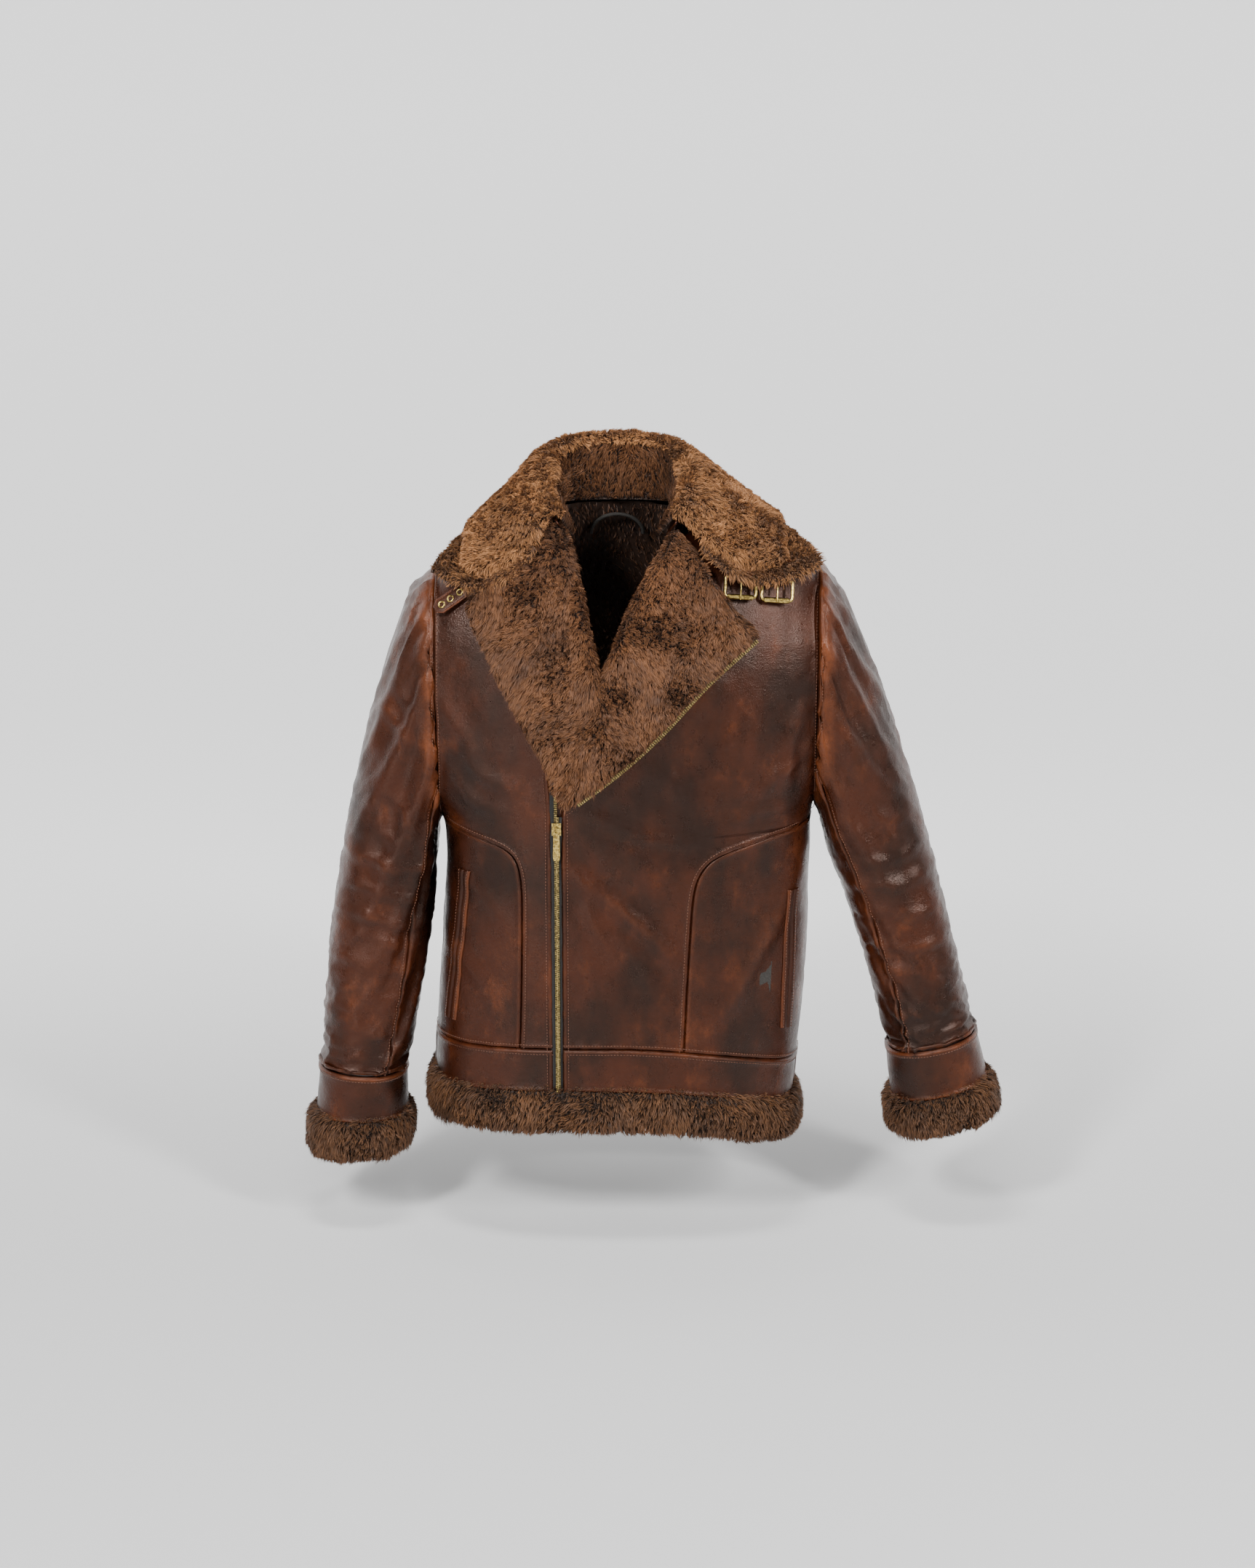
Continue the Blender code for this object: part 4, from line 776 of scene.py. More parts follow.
def crumpled(grid):
    """Sleeve tube after cloth has settled a little too long for the arm inside it."""
    rows, columns = grid.shape[:2]
    tubes = []
    for name, surface in (("sleeve_cloth", grid), ("arm_form", grid - normals_of(grid, True) * 0.0085)):
        mesh = bpy.data.meshes.new(name)
        mesh.from_pydata(surface.reshape(-1, 3).tolist(), [], grid_faces(rows, columns, True).tolist())
        tubes.append(linked(name, mesh))
    cloth, form = tubes
    form.modifiers.new("Collision", "COLLISION")
    form.collision.thickness_outer = 0.002
    pins = cloth.vertex_groups.new(name="pins")
    for row in range(rows):
        weight = max(1 - min(row, rows - 1 - row) / 3.0, 0.0)
        if weight > 0:
            pins.add(list(range(row * columns, (row + 1) * columns)), weight, "REPLACE")
    step = cloth.modifiers.new("Cloth", "CLOTH")
    step.settings.quality = 8
    step.settings.mass = 0.5
    step.settings.tension_stiffness = 25
    step.settings.compression_stiffness = 25
    step.settings.shear_stiffness = 12
    step.settings.bending_stiffness = 6.0
    step.settings.air_damping = 2.0
    step.settings.shrink_min = -0.065
    step.settings.vertex_group_mass = "pins"
    step.collision_settings.distance_min = 0.002
    step.point_cache.frame_end = 40
    scene = bpy.context.scene
    for number in range(1, 37):
        scene.frame_set(number)
    graph = bpy.context.evaluated_depsgraph_get()
    settled = cloth.evaluated_get(graph)
    found = np.empty(rows * columns * 3, np.float32)
    settled.data.vertices.foreach_get("co", found)
    for obj in tubes:
        bpy.data.objects.remove(obj, do_unlink=True)
    scene.frame_set(1)
    moved = found.reshape(grid.shape) - grid
    far = np.linalg.norm(moved, axis=-1, keepdims=True)
    limit = 0.016
    return moved * np.minimum(1.0, limit / np.maximum(far, 1e-9)) + grid


def follow_arm(obj):
    """Bake a piece's placement into its points."""
    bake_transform(obj)


def sleeve(word):
    arm = ARMS[word]
    side = arm["side"]
    rows, columns = 92, 72
    t = np.linspace(0, 1, rows)
    angle = 2 * math.pi * np.arange(columns) / columns
    tube = sleeve_rings(arm, t, angle, -0.001)
    if side > 0:
        tube = tube[:, ::-1]
    tube = tube[::-1]
    tube = crumpled(tube)
    length = 0.6
    row_places = (1 - fine_ends(length, 0.005)[::-1]) * (rows - 1)
    row_places = np.append(np.sort(row_places), rows)
    tube = np.concatenate((tube, tube[-1:] - np.array((side * 0.0035, 0, 0))))
    for name, start, end in (("top", FRONT_SEAM + 0.004, BACK_SEAM - 2 * math.pi - 0.004),
                             ("under", BACK_SEAM + 0.004, FRONT_SEAM - 0.004)):
        shares = fine_ends(0.24 if name == "top" else 0.13, 0.0048)
        turns = start + (end - start) * shares
        places = turns / (2 * math.pi) * columns
        if side > 0:
            places = columns - 1 - places
        if places[0] > places[-1]:
            places = places[::-1]
        grid = resample_both(tube, row_places, places, True)
        creases = np.clip(1 - 2.2 * np.abs(noise(grid, (0.06, 0.06, 0.017), 70)), 0, 1)
        fine = np.clip(1 - 2.4 * np.abs(noise(grid, (0.034, 0.034, 0.0085), 71)), 0, 1)
        low_arm = smooth((-0.3 - grid[..., 2]) / 0.1)
        folds = 0.0007 * noise(grid, 0.02, 12) - low_arm * (0.0017 * creases**2 + 0.0008 * fine**2)
        folds = folds + ridges(grid, SLEEVE_FOLDS) * (0.45 + 0.55 * (grid[..., 1] < 0.03))
        cap = to_line(grid, grid[-1])
        folds = folds + 0.004 * np.exp(-(((cap - 0.01) / 0.01) ** 2))
        panel = Panel(grid, ("left", "right", "low", "high"), 0.001, folds)
        smooth_base = sleeve_smooth(grid)
        crest = ((panel.grid - smooth_base) * panel.normal).sum(-1)
        panel.wear = np.clip(panel.wear + np.clip(crest / 0.005, -0.3, 1) * 0.45, 0, 1)
        piece = f"sleeve_{word}_{name}"
        obj = solid_grid(piece + "_leather", panel.grid, PANEL_WALL, HIDE, "leather", None, (piece,), False,
                         {"wear": panel.wear}, True)
        follow_arm(obj)
        if name == "top":
            lines = [panel.stitch_line("left", 0.0045), panel.stitch_line("right", 0.0045)]
            follow_arm(stitches(f"sleeve_{word}_stitches", lines, None))
            CAP_STITCHES[word] = [panel.stitch_line("high", 0.0048)]
    inside = tube[5:-9] - normals_of(tube, True)[5:-9] * 0.0125
    fleece = {"tip": np.full(inside.shape[:2], 0.3), "tone": np.full(inside.shape[:2], 0.6)}
    obj = solid_grid(f"sleeve_{word}_fleece", inside, 0.0025, FUR_HEM, "lining", "sleeve_" + word,
                     (f"sleeve_{word}_lining",), True, fleece, True)
    follow_arm(obj)


def sleeve_smooth(grid):
    """The grid with its folds averaged away."""
    soft = grid.copy()
    for _ in range(26):
        soft[1:-1] = (soft[:-2] + 2 * soft[1:-1] + soft[2:]) / 4
    return soft


def cuff_rings(arm, table, angle):
    """Rings down the cuff; table rows are (share, which span, lift)."""
    ends = {"band": ((arm["outer"][-1], arm["cuff"][0]), (arm["inner"][-1], arm["cuff"][1])),
            "fur": ((arm["cuff"][0], arm["fur"][0]), (arm["cuff"][1], arm["fur"][1]))}
    outer, inner, lift = [], [], []
    for share, span, rise in table:
        (a, b), (c, d) = ends[span]
        outer.append(np.array(a) + (np.array(b) - a) * share)
        inner.append(np.array(c) + (np.array(d) - c) * share)
        lift.append(rise)
    count = len(table)
    return arm_ring(np.array(outer), np.array(inner), np.full(count, SLEEVE_DEPTH[-1][1]),
                    np.full(count, SLEEVE_Y[-1][1]), arm["side"], angle, np.array(lift))


def cuff(word):
    arm = ARMS[word]
    side = arm["side"]
    columns = 110
    angle = -2 * math.pi * np.arange(columns) / columns * side
    shares = 1 - fine_ends(0.06, 0.0045)
    grid = cuff_rings(arm, [(s, "band", 0.0008) for s in shares], angle)
    normal = normals_of(grid, True)
    away = np.minimum(to_line(grid, grid[0]), to_line(grid, grid[-1]))
    folds = 0.0007 * noise(grid, 0.02, 21) + 0.0012 * noise(grid, (0.05, 0.05, 0.03), 22)
    grid = grid + normal * (folds + seam_profile(away, 0.0018))[..., None]
    wear = np.clip(0.8 * np.exp(-(((away - 0.003) / 0.0024) ** 2)) + folds / 0.002 * 0.4, 0, 1)
    leather(f"cuff_{word}_leather", grid, 0.0016, "sleeve_" + word, ("cuff_band_" + word,), wear, HIDE, True)
    row = int(np.argmin(np.abs(to_line(grid[:, :1], grid[-1, :1])[:, 0] - 0.006)))
    line = np.concatenate((grid[row], grid[row][:1]))
    out = np.concatenate((normal[row], normal[row][:1]))
    stitches(f"cuff_{word}_stitches", [(line + out * 0.0005, out)], "sleeve_" + word)
    stitches(f"armhole_{word}_stitches", CAP_STITCHES[word], "jacket_body")
    table = [(1.06, "fur", -0.006), (1.08, "fur", -0.001), (0.99, "fur", 0.0046), (0.75, "fur", 0.0066),
             (0.4, "fur", 0.0068), (0.12, "fur", 0.005), (-0.04, "fur", 0.0012), (-0.14, "fur", -0.004)]
    grid = cuff_rings(arm, table, angle)
    grid = resample(grid, np.linspace(0, len(table) - 1, 22))
    fur(f"cuff_{word}_fur", grid, "sleeve_" + word, ("cuff_fur_" + word,), FUR_HEM, 15000, 0.012,
        (side * 0.1, -0.1, -1), True, 0.75)


# ---- fur ----------------------------------------------------------------------------------------
def fur(name, grid, body, replaced, material, count, length, flow, closed=False, tone=1.0,
        lean=0.7, clump=0.0085, slot="fur", width=0.00072):
    """A pile of curved, tapered tufts standing on a grid, over a soft base painted in the dark root colour as
    the shade between the tufts.
    """
    rows, columns = grid.shape[:2]
    normal = normals_of(grid, closed)
    wave = 0.0016 * noise(grid, 0.016, 31) + 0.001 * noise(grid, 0.007, 32)
    base = grid + normal * wave[..., None]
    wide = np.concatenate((base, base[:, :1]), 1) if closed else base
    wide_n = np.concatenate((normal, normal[:, :1]), 1) if closed else normal
    corner = wide[:-1, :-1]
    area = np.linalg.norm(np.cross(wide[:-1, 1:] - corner, wide[1:, :-1] - corner), axis=-1).ravel()
    cell = RNG.choice(len(area), count, p=area / area.sum())
    i, j = np.divmod(cell, wide.shape[1] - 1)
    u, v = RNG.random((2, count))

    def read(values):
        a = values[i, j] * (1 - u)[:, None] + values[i, j + 1] * u[:, None]
        b = values[i + 1, j] * (1 - u)[:, None] + values[i + 1, j + 1] * u[:, None]
        return a * (1 - v)[:, None] + b * v[:, None]

    root, out = read(wide), unit(read(wide_n))
    warp = 0.5 * np.stack([noise(root, 0.009, 40 + k) for k in range(3)], -1)
    key = np.floor(root / clump + warp).astype(np.int64)
    wisp = np.floor(root / 0.0034 + 1.2 * warp).astype(np.int64)
    pick = [lattice(key[:, 0], key[:, 1], key[:, 2], 50 + k) for k in range(3)]
    curl = [lattice(wisp[:, 0], wisp[:, 1], wisp[:, 2], 55 + k) for k in range(5)]
    tilt = np.stack(pick, -1) * 0.4 + np.stack(curl[:3], -1) * 0.5 + RNG.normal(0, 0.16, (count, 3))
    swirl = np.stack([noise(root, 0.034, 60 + k) for k in range(3)], -1)
    push = np.asarray(flow, float) * lean + tilt * 0.6 + swirl * 0.55
    push = push - (push * out).sum(-1, keepdims=True) * out
    size = length * (0.82 + 0.2 * curl[3] + RNG.normal(0, 0.08, count))
    spin = RNG.random(count) * math.pi
    first = unit(np.cross(out, np.asarray((0.21, 0.53, 0.82))))
    second = np.cross(out, first)
    broad = first * np.cos(spin)[:, None] + second * np.sin(spin)[:, None]
    stages = (0.0, 0.38, 0.74, 1.0)
    rings, tips = [], []
    for s in stages:
        centre = root + (out * (s - 0.42 * s * s) + push * (0.35 * s + 0.55 * s * s)) * size[:, None]
        centre = centre - out * 0.001 * (s == 0)
        half = width * (1 - s) ** 0.6 * (0.75 + 0.5 * RNG.random(count))
        if s < 1:
            rings += [centre - broad * half[:, None], centre + broad * half[:, None]]
            tips += [np.full(count, s)] * 2
        else:
            rings.append(centre)
            tips.append(np.full(count, s))
    points = np.stack(rings, 1).reshape(-1, 3)
    start = np.arange(count)[:, None] * 7
    quads = np.concatenate((start + np.array((0, 1, 3, 2)), start + np.array((2, 3, 5, 4))))
    triangles = start + np.array((4, 5, 6))
    along = np.stack(tips, 1).ravel()
    crush = 0.2 * noise(root, 0.034, 66) + 0.08 * noise(root, 0.014, 67)
    bright = tone * (0.8 + 0.24 * curl[4] + crush + RNG.normal(0, 0.06, count))
    bright = np.repeat(np.clip(bright, 0.04, 1), 7)
    # The base sheet takes the dark root colour and a lower tone: painted shade that shows in the gaps between
    # the tufts.
    ground = base - normal * 0.0006
    ground_count = rows * columns
    faces = [quads + ground_count, triangles + ground_count, grid_faces(rows, columns, closed)]
    points = np.concatenate((ground.reshape(-1, 3), points))
    tip = np.concatenate((np.full(ground_count, 0.1), along))
    shade = np.concatenate((np.full(ground_count, 0.6 * tone), bright))
    make_mesh(name, points, faces, material, slot, body, replaced, {"tip": tip, "tone": shade})


def padded_edges(grid, normal, height, left=0.01, right=0.01, low=0.01, high=0.01):
    """Height of a pad over a grid, rounded down to nothing at the stated edges."""
    share = np.ones(grid.shape[:2])
    for edge, width in (("left", left), ("right", right), ("low", low), ("high", high)):
        if width:
            away = to_line(grid, grid[EDGES[edge]])
            share = np.minimum(share, np.sqrt(np.clip(1 - (1 - np.clip(away / width, 0, 1)) ** 2, 0, 1)))
    return grid + normal * (height * share)[..., None]


def lapel_grid(side, lift, rows=70, columns=36, reach=0.0):
    fold, edge = LAPEL[side]
    at = np.linspace(0, 1 + reach, rows)
    knots = np.linspace(0, 1, len(fold))
    table = list(zip(knots, fold))
    past = np.maximum(at - 1, 0)[:, None]
    start = spline(table, at) + past * (spline(table, 1.0) - spline(table, 0.96)) / 0.04
    end = spline(list(zip(np.linspace(0, 1, len(edge)), edge)), at)
    end = end + (start - end) * 0.8 * np.sqrt(past / max(reach, 1e-6))
    shares = np.linspace(0, 1, columns)
    grid = []
    for k, share in enumerate(at):
        rise = lift + (LAPEL_LIFT[1] - LAPEL_LIFT[0]) * min(share, 1) ** 2
        a, b = start[k], end[k]
        turns = theta_at(a[0], a[1]), theta_at(b[0], b[1])
        fine = np.linspace(0, 1, 160)
        height = a[1] + (b[1] - a[1]) * fine
        points = skin(turns[0] + (turns[1] - turns[0]) * fine, height, np.full(160, rise))
        run = np.concatenate(([0], np.cumsum(np.linalg.norm(np.diff(points, axis=0), axis=1))))
        row = np.stack([np.interp(shares * run[-1], run, points[:, c]) for c in range(3)], -1)
        grid.append(row[::-1] if side < 0 else row)
    return np.stack(grid)


def lapels():
    for word, side in (("right", -1), ("left", 1)):
        body = "lapel_" + word
        under = lapel_grid(side, LAPEL_LIFT[0] + 0.0014)
        leather(f"lapel_{word}_facing", under, TRIM_WALL, body, (f"lapel_{word}_leather",), 0.4)
        grid = lapel_grid(side, LAPEL_LIFT[0] + 0.0018, 78, reach=0.09)
        normal = normals_of(grid)
        inner = {"right": 0.004} if side < 0 else {"left": 0.004}
        outer = {"left": 0.008} if side < 0 else {"right": 0.008}
        puffed = padded_edges(grid, normal, 0.0085, low=0.006, high=0.01, **inner, **outer)
        cut = -1 if side < 0 else 0
        fold, out = grid[:, cut], normal[:, cut]
        away = unit(fold - grid[:, -3 if side < 0 else 2])
        bends = np.radians((62, 32, 0, -35, -65))
        roll = [fold + (out * math.sin(a) + away * math.cos(a)) * 0.008 for a in bends]
        roll = np.stack(roll if side < 0 else roll[::-1], 1)
        puffed = np.concatenate((puffed[:, :-1], roll) if side < 0 else (roll, puffed[:, 1:]), 1)
        fur(f"lapel_{word}_pile", puffed, body, (f"lapel_{word}_fur",), FUR_DARK_AND_SHADED, 54000, 0.011,
            (side * 0.35, -0.2, -0.8), False, 0.85, clump=0.0095)
    edge = lapel_grid(1, LAPEL_LIFT[0], rows=160)[:, -1]
    zip_row("lapel_zip_chain", edge, "lapel_left", ("lapel_zip_teeth",))


def zip_row(name, line, body, replaced):
    """Tape and teeth of the open half of the zip along an edge."""
    theta = np.arctan2(-line[:, 1], line[:, 0])
    out = unit(np.stack((np.cos(theta) * 0.35, -np.abs(np.sin(theta)), np.full(len(line), 0.1)), -1))
    along = unit(np.gradient(line, axis=0))
    away = unit(np.cross(along, out))
    away = away * np.sign((away * (1, 0, -0.4)).sum(-1, keepdims=True))
    tape = np.stack((line + out * 0.0012 - away * 0.004, line + out * 0.0026 + away * 0.0052), 1)
    solid_grid(name + "_tape", tape[:, ::-1], 0.0008, TAPE, "tape", body)
    at, direction, normal = even(line + away * 0.0058 + out * 0.003, out, 0.0026)
    teeth = Pile()
    side = unit(np.cross(direction, normal))
    teeth.add_boxes(at, side, direction, normal, (0.0022, 0.0008, 0.0013))
    return teeth.make(name, TEETH, "brass", body, replaced, True)


# ---- collar -------------------------------------------------------------------------------------
def collar_line(table, at):
    """Points of a collar line at places from -1 (wearer's right) to 1."""
    rows = list(zip(COLLAR_AT, table))
    points = spline(rows, np.abs(at))
    past = np.maximum(np.abs(at) - 1, 0)[..., None]
    points = points + past * (spline(rows, 1.0) - spline(rows, 0.96)) / 0.04
    if table is COLLAR_EDGE:
        points = points + COLLAR_LEFT_REACH * (smooth(at / 0.6) * (at > 0))[..., None]
    points = points * np.stack((np.where(at >= 0, 1.0, -1.0), np.ones(at.shape), np.ones(at.shape)), -1)
    return points


def collar_surface(low, high, at, t):
    at, t = np.broadcast_arrays(np.asarray(at, float), np.asarray(t, float))
    points = collar_line(low, at) * (1 - t)[..., None] + collar_line(high, at) * t[..., None]
    if low is COLLAR_EDGE:
        share = 4 * t * (1 - t) * smooth((np.abs(at) - 0.72) / 0.28)
        turn = np.where(at > 0, 1.0, -1.0)
        points = points + share[..., None] * np.stack(
            (COLLAR_BOW[0] * turn, np.full(at.shape, COLLAR_BOW[1]), np.full(at.shape, COLLAR_BOW[2])), -1)
    return points


def front_drop(points, at):
    """Carry the collar's front ends down over the top of the lapels."""
    share = smooth((np.abs(at) - 0.66) / 0.34) * np.ones(points.shape[:2])
    middle = np.linspace(-1, 1, len(points))[:, None]
    return points + (share * np.clip(1 - middle**2, 0, 1))[..., None] * COLLAR_DROP


def collar():
    ring = np.linspace(1, -1, 120)[None, :]
    up = np.linspace(0, 1, 14)[:, None]
    stand = collar_surface(COLLAR_NECK, COLLAR_FOLD, ring, up)
    pelt = collar_surface(COLLAR_NECK, COLLAR_FOLD, ring, np.linspace(-0.22, 1, 18)[:, None])
    normal = normals_of(stand)
    leather("stand_leather", stand - normal * 0.0006, TRIM_WALL, "jacket_body", ("collar_stand",), 0.3)
    inner = (pelt - normals_of(pelt) * 0.0078)[:, ::-1]
    fur("stand_fur", inner, "jacket_body", ("collar_stand_fur",), FUR_DARK_AND_SHADED, 12000, 0.01, (0, 0, 0.9), False,
        0.8)
    parts = (("back", "jacket_body", np.linspace(WING_START, -WING_START, 70), 0.0012),
             ("left", "collar_left", np.linspace(1.0, WING_START + 0.004, 70), 0.003),
             ("right", "collar_right", np.linspace(-WING_START - 0.004, -1.0, 70), 0.003))
    for word, body, places, start in parts:
        at, t = places[None, :], np.linspace(0, 1, 44)[:, None]
        short = at if word == "back" else np.sign(at) * (0.404 + (np.abs(at) - 0.404) * 0.94)
        sheet = collar_surface(COLLAR_EDGE, COLLAR_FOLD, short, 0.06 + 0.94 * t)
        normal = normals_of(sheet)
        leather(f"collar_{word}_under", sheet + normal * (start + TRIM_WALL), TRIM_WALL, body,
                (f"collar_{word}_leather",), 0.35)
        turn = -1 if word == "right" else 1
        past = WING_START + 0.004
        ends = {"left": 0.009 if word == "left" else 0, "right": 0.009 if word == "right" else 0}
        for layer, stretch, t_low, t_high, rise, pad in (("lower", 1.06, -0.055, 0.8, 0.0006, 0.0048),
                                                         ("upper", 0.955, 0.105, 1.0, 0.0062, 0.0072)):
            spread = at if word == "back" else turn * (past + (np.abs(at) - past) * stretch)
            reach = t_low - (0.075 * smooth((np.abs(at) - 0.5) / 0.4) if layer == "lower" else 0)
            shares = reach + (t_high - reach) * np.linspace(0, 1, 46)[:, None]
            layer_grid = front_drop(collar_surface(COLLAR_EDGE, COLLAR_FOLD, spread, shares), spread)
            out = normals_of(layer_grid)
            layer_grid = padded_edges(layer_grid + out * (start + rise), out, pad, low=0.008, high=0, **ends)
            if layer == "lower":
                fur(f"collar_{word}_lower_pile", layer_grid, body, (), FUR_PALE_AND_TOPLIT, 15000, 0.01,
                    (0, -0.2, -0.9), False, 0.75, clump=0.008)
                continue
            roll = smooth((shares - 0.88) / 0.12)
            layer_grid = layer_grid - out * (0.003 * roll[..., None])
            fold = collar_line(COLLAR_FOLD, spread[0])
            neck = collar_surface(COLLAR_NECK, COLLAR_FOLD, spread, np.linspace(0, 1, 12)[:, None])
            inward = -normals_of(neck)[-1]
            top = unit(out[-1] + inward + np.array((0, 0, 0.8)))
            reach = np.linalg.norm(layer_grid[-1] - fold, axis=-1, keepdims=True)
            rolled = []
            for share in (0.22, 0.45, 0.7, 0.95, 1.2, 1.45, 1.7, 2.0):
                low_d, high_d, part = (out[-1], top, share) if share < 1 else (top, inward, share - 1)
                rolled.append(fold + unit(low_d * (1 - part) + high_d * part) * (reach * (1 - 0.1 * share)))
            layer_grid = np.concatenate((layer_grid, np.stack(rolled)))
            fur(f"collar_{word}_pile", layer_grid, body, (f"collar_{word}_fur",), FUR_PALE_AND_TOPLIT, 36000, 0.011,
                (0.0, -0.15, -0.75), False, 1.0, clump=0.0095)


# ---- hem and insides ----------------------------------------------------------------------------
def hem_fur():
    start = float(theta_at(ZIP_X, HEM_SEAM))
    end = start - 2 * math.pi
    shares = np.arange(260) / 260
    profile = ((-0.704, -0.007), (-0.715, -0.005), (-0.7165, 0.0000), (-0.711, 0.0048), (-0.7, 0.0066),
               (-0.688, 0.0066), (-0.679, 0.0046), (-0.6705, 0.0004), (-0.666, -0.004))
    rows = []
    for z, lift in profile:
        row = even_row(start, end, z, z, shares)
        normal = unit(np.cross(np.gradient(row, axis=0), (0, 0, 1)))
        normal = normal * np.sign((normal * row * (1, 1, 0)).sum(-1, keepdims=True))
        rows.append(row + normal * lift)
    grid = resample(np.stack(rows), np.linspace(0, len(profile) - 1, 26))
    fur("hem_pile", grid, "jacket_body", ("hem_fur_trim",), FUR_HEM, 42000, 0.012, (0, 0, -0.9), True, 0.8)


def insides():
    for word, side in (("right", -1), ("left", 1)):
        ends = []
        for z in np.linspace(-0.669, NECK_TOP - 0.012, 110):
            clear = 0.016 if side > 0 else 0.01
            x = ZIP_X + side * clear
            if z > FOLD_EDGE[side][0][1]:
                x = side * max(side * x, side * float(line_x(FOLD_EDGE[side], z)) + 0.002)
            ends.append((float(side_angle(z, side)), z, float(theta_at(x, z)), z))
        grid = rows_between(ends, np.linspace(0, 1, 50), side > 0)
        grid = grid - normals_of(grid) * 0.0095
        ones = np.ones(grid.shape[:2])
        node = word + "_front_lining"
        solid_grid(word + "_fleece", grid, 0.003, FUR_HEM, "lining", "jacket_body", (node,), False,
                   {"tip": ones * 0.35, "tone": ones * 0.6})
    levels = np.linspace(-0.669, NECK_TOP - 0.001, 112)
    ends = [(float(side_angle(z, 1, True)), z, float(side_angle(z, -1, True)), z) for z in levels]
    grid = rows_between(ends, np.linspace(0, 1, 90))
    inner = (grid - normals_of(grid) * 0.0115)[:, ::-1]
    fur("back_fleece", inner, "jacket_body", ("back_lining",), FUR_DARK_AND_SHADED, 22000, 0.0085, (0, 0, -0.8), False,
        0.6, slot="lining", clump=0.01)
    base = skin(theta_at(0.0, -0.05, True), -0.05, -0.0205)
    turn = np.linspace(0, math.pi, 30)
    loop = np.stack((0.03 * np.cos(turn), base[1] - 0.012 * np.sin(turn), base[2] + 0.024 * np.sin(turn)), -1)
    make_mesh("loop_cord", *tube_arrays(loop, 0.002, 10), COTTON, "cotton", "jacket_body", ("hanger_loop",))


WELTS = {"right": ((-0.193, -0.595), (-0.1715, -0.417)), "left": ((0.1955, -0.58), (0.1985, -0.43))}


def pockets():
    for word, (low, high) in WELTS.items():
        rows = []
        for share in fine_ends(0.17, 0.005):
            x, z = low[0] + (high[0] - low[0]) * share, low[1] + (high[1] - low[1]) * share
            across = np.linspace(-0.007, 0.007, 15)
            turns = theta_at(x + across, np.full(15, z))
            rows.append(skin(turns, np.full(15, z), np.zeros(15)))
        grid = np.stack(rows)
        folds = swell(grid)
        width = np.linspace(-1, 1, 15)
        puff = 0.0022 * (1 - np.abs(width) ** 4) - 0.0022 * np.exp(-((width / 0.14) ** 2))
        normal = normals_of(grid)
        grid = grid + normal * (folds + puff[None] + 0.0006)[..., None]
        wear = np.exp(-(((np.abs(width) - 0.85) / 0.2) ** 2)) * 0.8
        leather(f"{word}_welt_leather", grid, 0.0012, "jacket_body", (word + "_pocket_welt",), wear)
        ALL_STITCHES.append((grid[:, 2] + normal[:, 2] * 0.0004, normal[:, 2]))
        ALL_STITCHES.append((grid[:, -3] + normal[:, -3] * 0.0004, normal[:, -3]))
        dress(word + "_pocket_bag", COTTON)


# ---- zip ----------------------------------------------------------------------------------------
LOW_POINT = skin(theta_at(ZIP_X, LEATHER_END), LEATHER_END)
HIGH_POINT = skin(theta_at(ZIP_X, ZIP_TOP), ZIP_TOP)
ZIP_UP = unit(HIGH_POINT - LOW_POINT)
ZIP_OUT = unit(np.cross((1, 0, 0), ZIP_UP))
LEFTWARD = np.array((1.0, 0.0, 0.0))


def zip_point(x, z, lift):
    """Points beside the zip line, at heights z and lifts off it."""
    run = (np.asarray(z) - LOW_POINT[2]) / ZIP_UP[2]
    return (LOW_POINT + LEFTWARD * np.asarray(x)[..., None] + ZIP_UP * run[..., None]
            + ZIP_OUT * np.asarray(lift)[..., None])


def closed_zip():
    bottom = LEATHER_END + 0.0005
    for word, side, top in (("right", -1, RIGHT_TEETH_TOP), ("left", 1, ZIP_TOP + 0.006)):
        z = np.linspace(bottom, top, 40)
        edges = sorted((side * 0.0003, side * 0.0075))
        grid = np.stack([zip_point(np.full(40, x), z, np.full(40, -0.001)) for x in edges], 1)
        solid_grid(f"tape_{word}", grid, 0.0007, TAPE, "tape", "jacket_body", ("zip_tape_" + word,))
        places = np.arange(bottom + 0.004 + (0.0011 if side > 0 else 0), top, 0.0022)
        teeth = Pile()
        centre = zip_point(np.full(len(places), side * 0.001), places, np.full(len(places), 0.0002))
        ones = np.ones((len(places), 1))
        teeth.add_boxes(centre, ones * LEFTWARD, ones * ZIP_UP, ones * ZIP_OUT, (0.0016, 0.00062, 0.0011))
        teeth.make(f"teeth_{word}", TEETH, "brass", "jacket_body", ("zip_teeth_" + word,), True)
    for node in ("zip_bottom_stop", "zip_slider", "zip_pull"):
        dress(node, BRASS)
    dress("wind_flap", TRIM)


def dress(node, material):
    """Give a CAD node that stays a new material."""
    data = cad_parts[node].data
    data.materials.clear()
    data.materials.append(material)


# ---- buckles and strap --------------------------------------------------------------------------
BUCKLES = (("inner", 0.137, 0.25), ("outer", 0.1775, 0.42))
BUCKLE_DROP = np.array((0.0, -0.011, -0.0085))
BUCKLE_WIDTH, BUCKLE_HEIGHT, BUCKLE_WIRE, ROLLER_RADIUS = 0.034, 0.0225, 0.0019, 0.0031
STRAP_ROOT, STRAP_TIP, STRAP_LIFT = -0.156, (-0.194, -0.1215), 0.008
STRAP_DROP = np.array((0.0, -0.008, -0.007))
STRAP_WIDTH = 0.018


def collar_front(x, side):
    shares = np.arange(41) / 40
    points = collar_surface(COLLAR_EDGE, COLLAR_FOLD, np.full(41, 0.99 * side), shares)
    return points[int(np.argmin(np.abs(points[:, 0] - x)))]


def local_axes(across, out):
    out = unit(np.asarray(out, float))
    across = unit(across - out * (across @ out))
    return across, np.cross(out, across), out


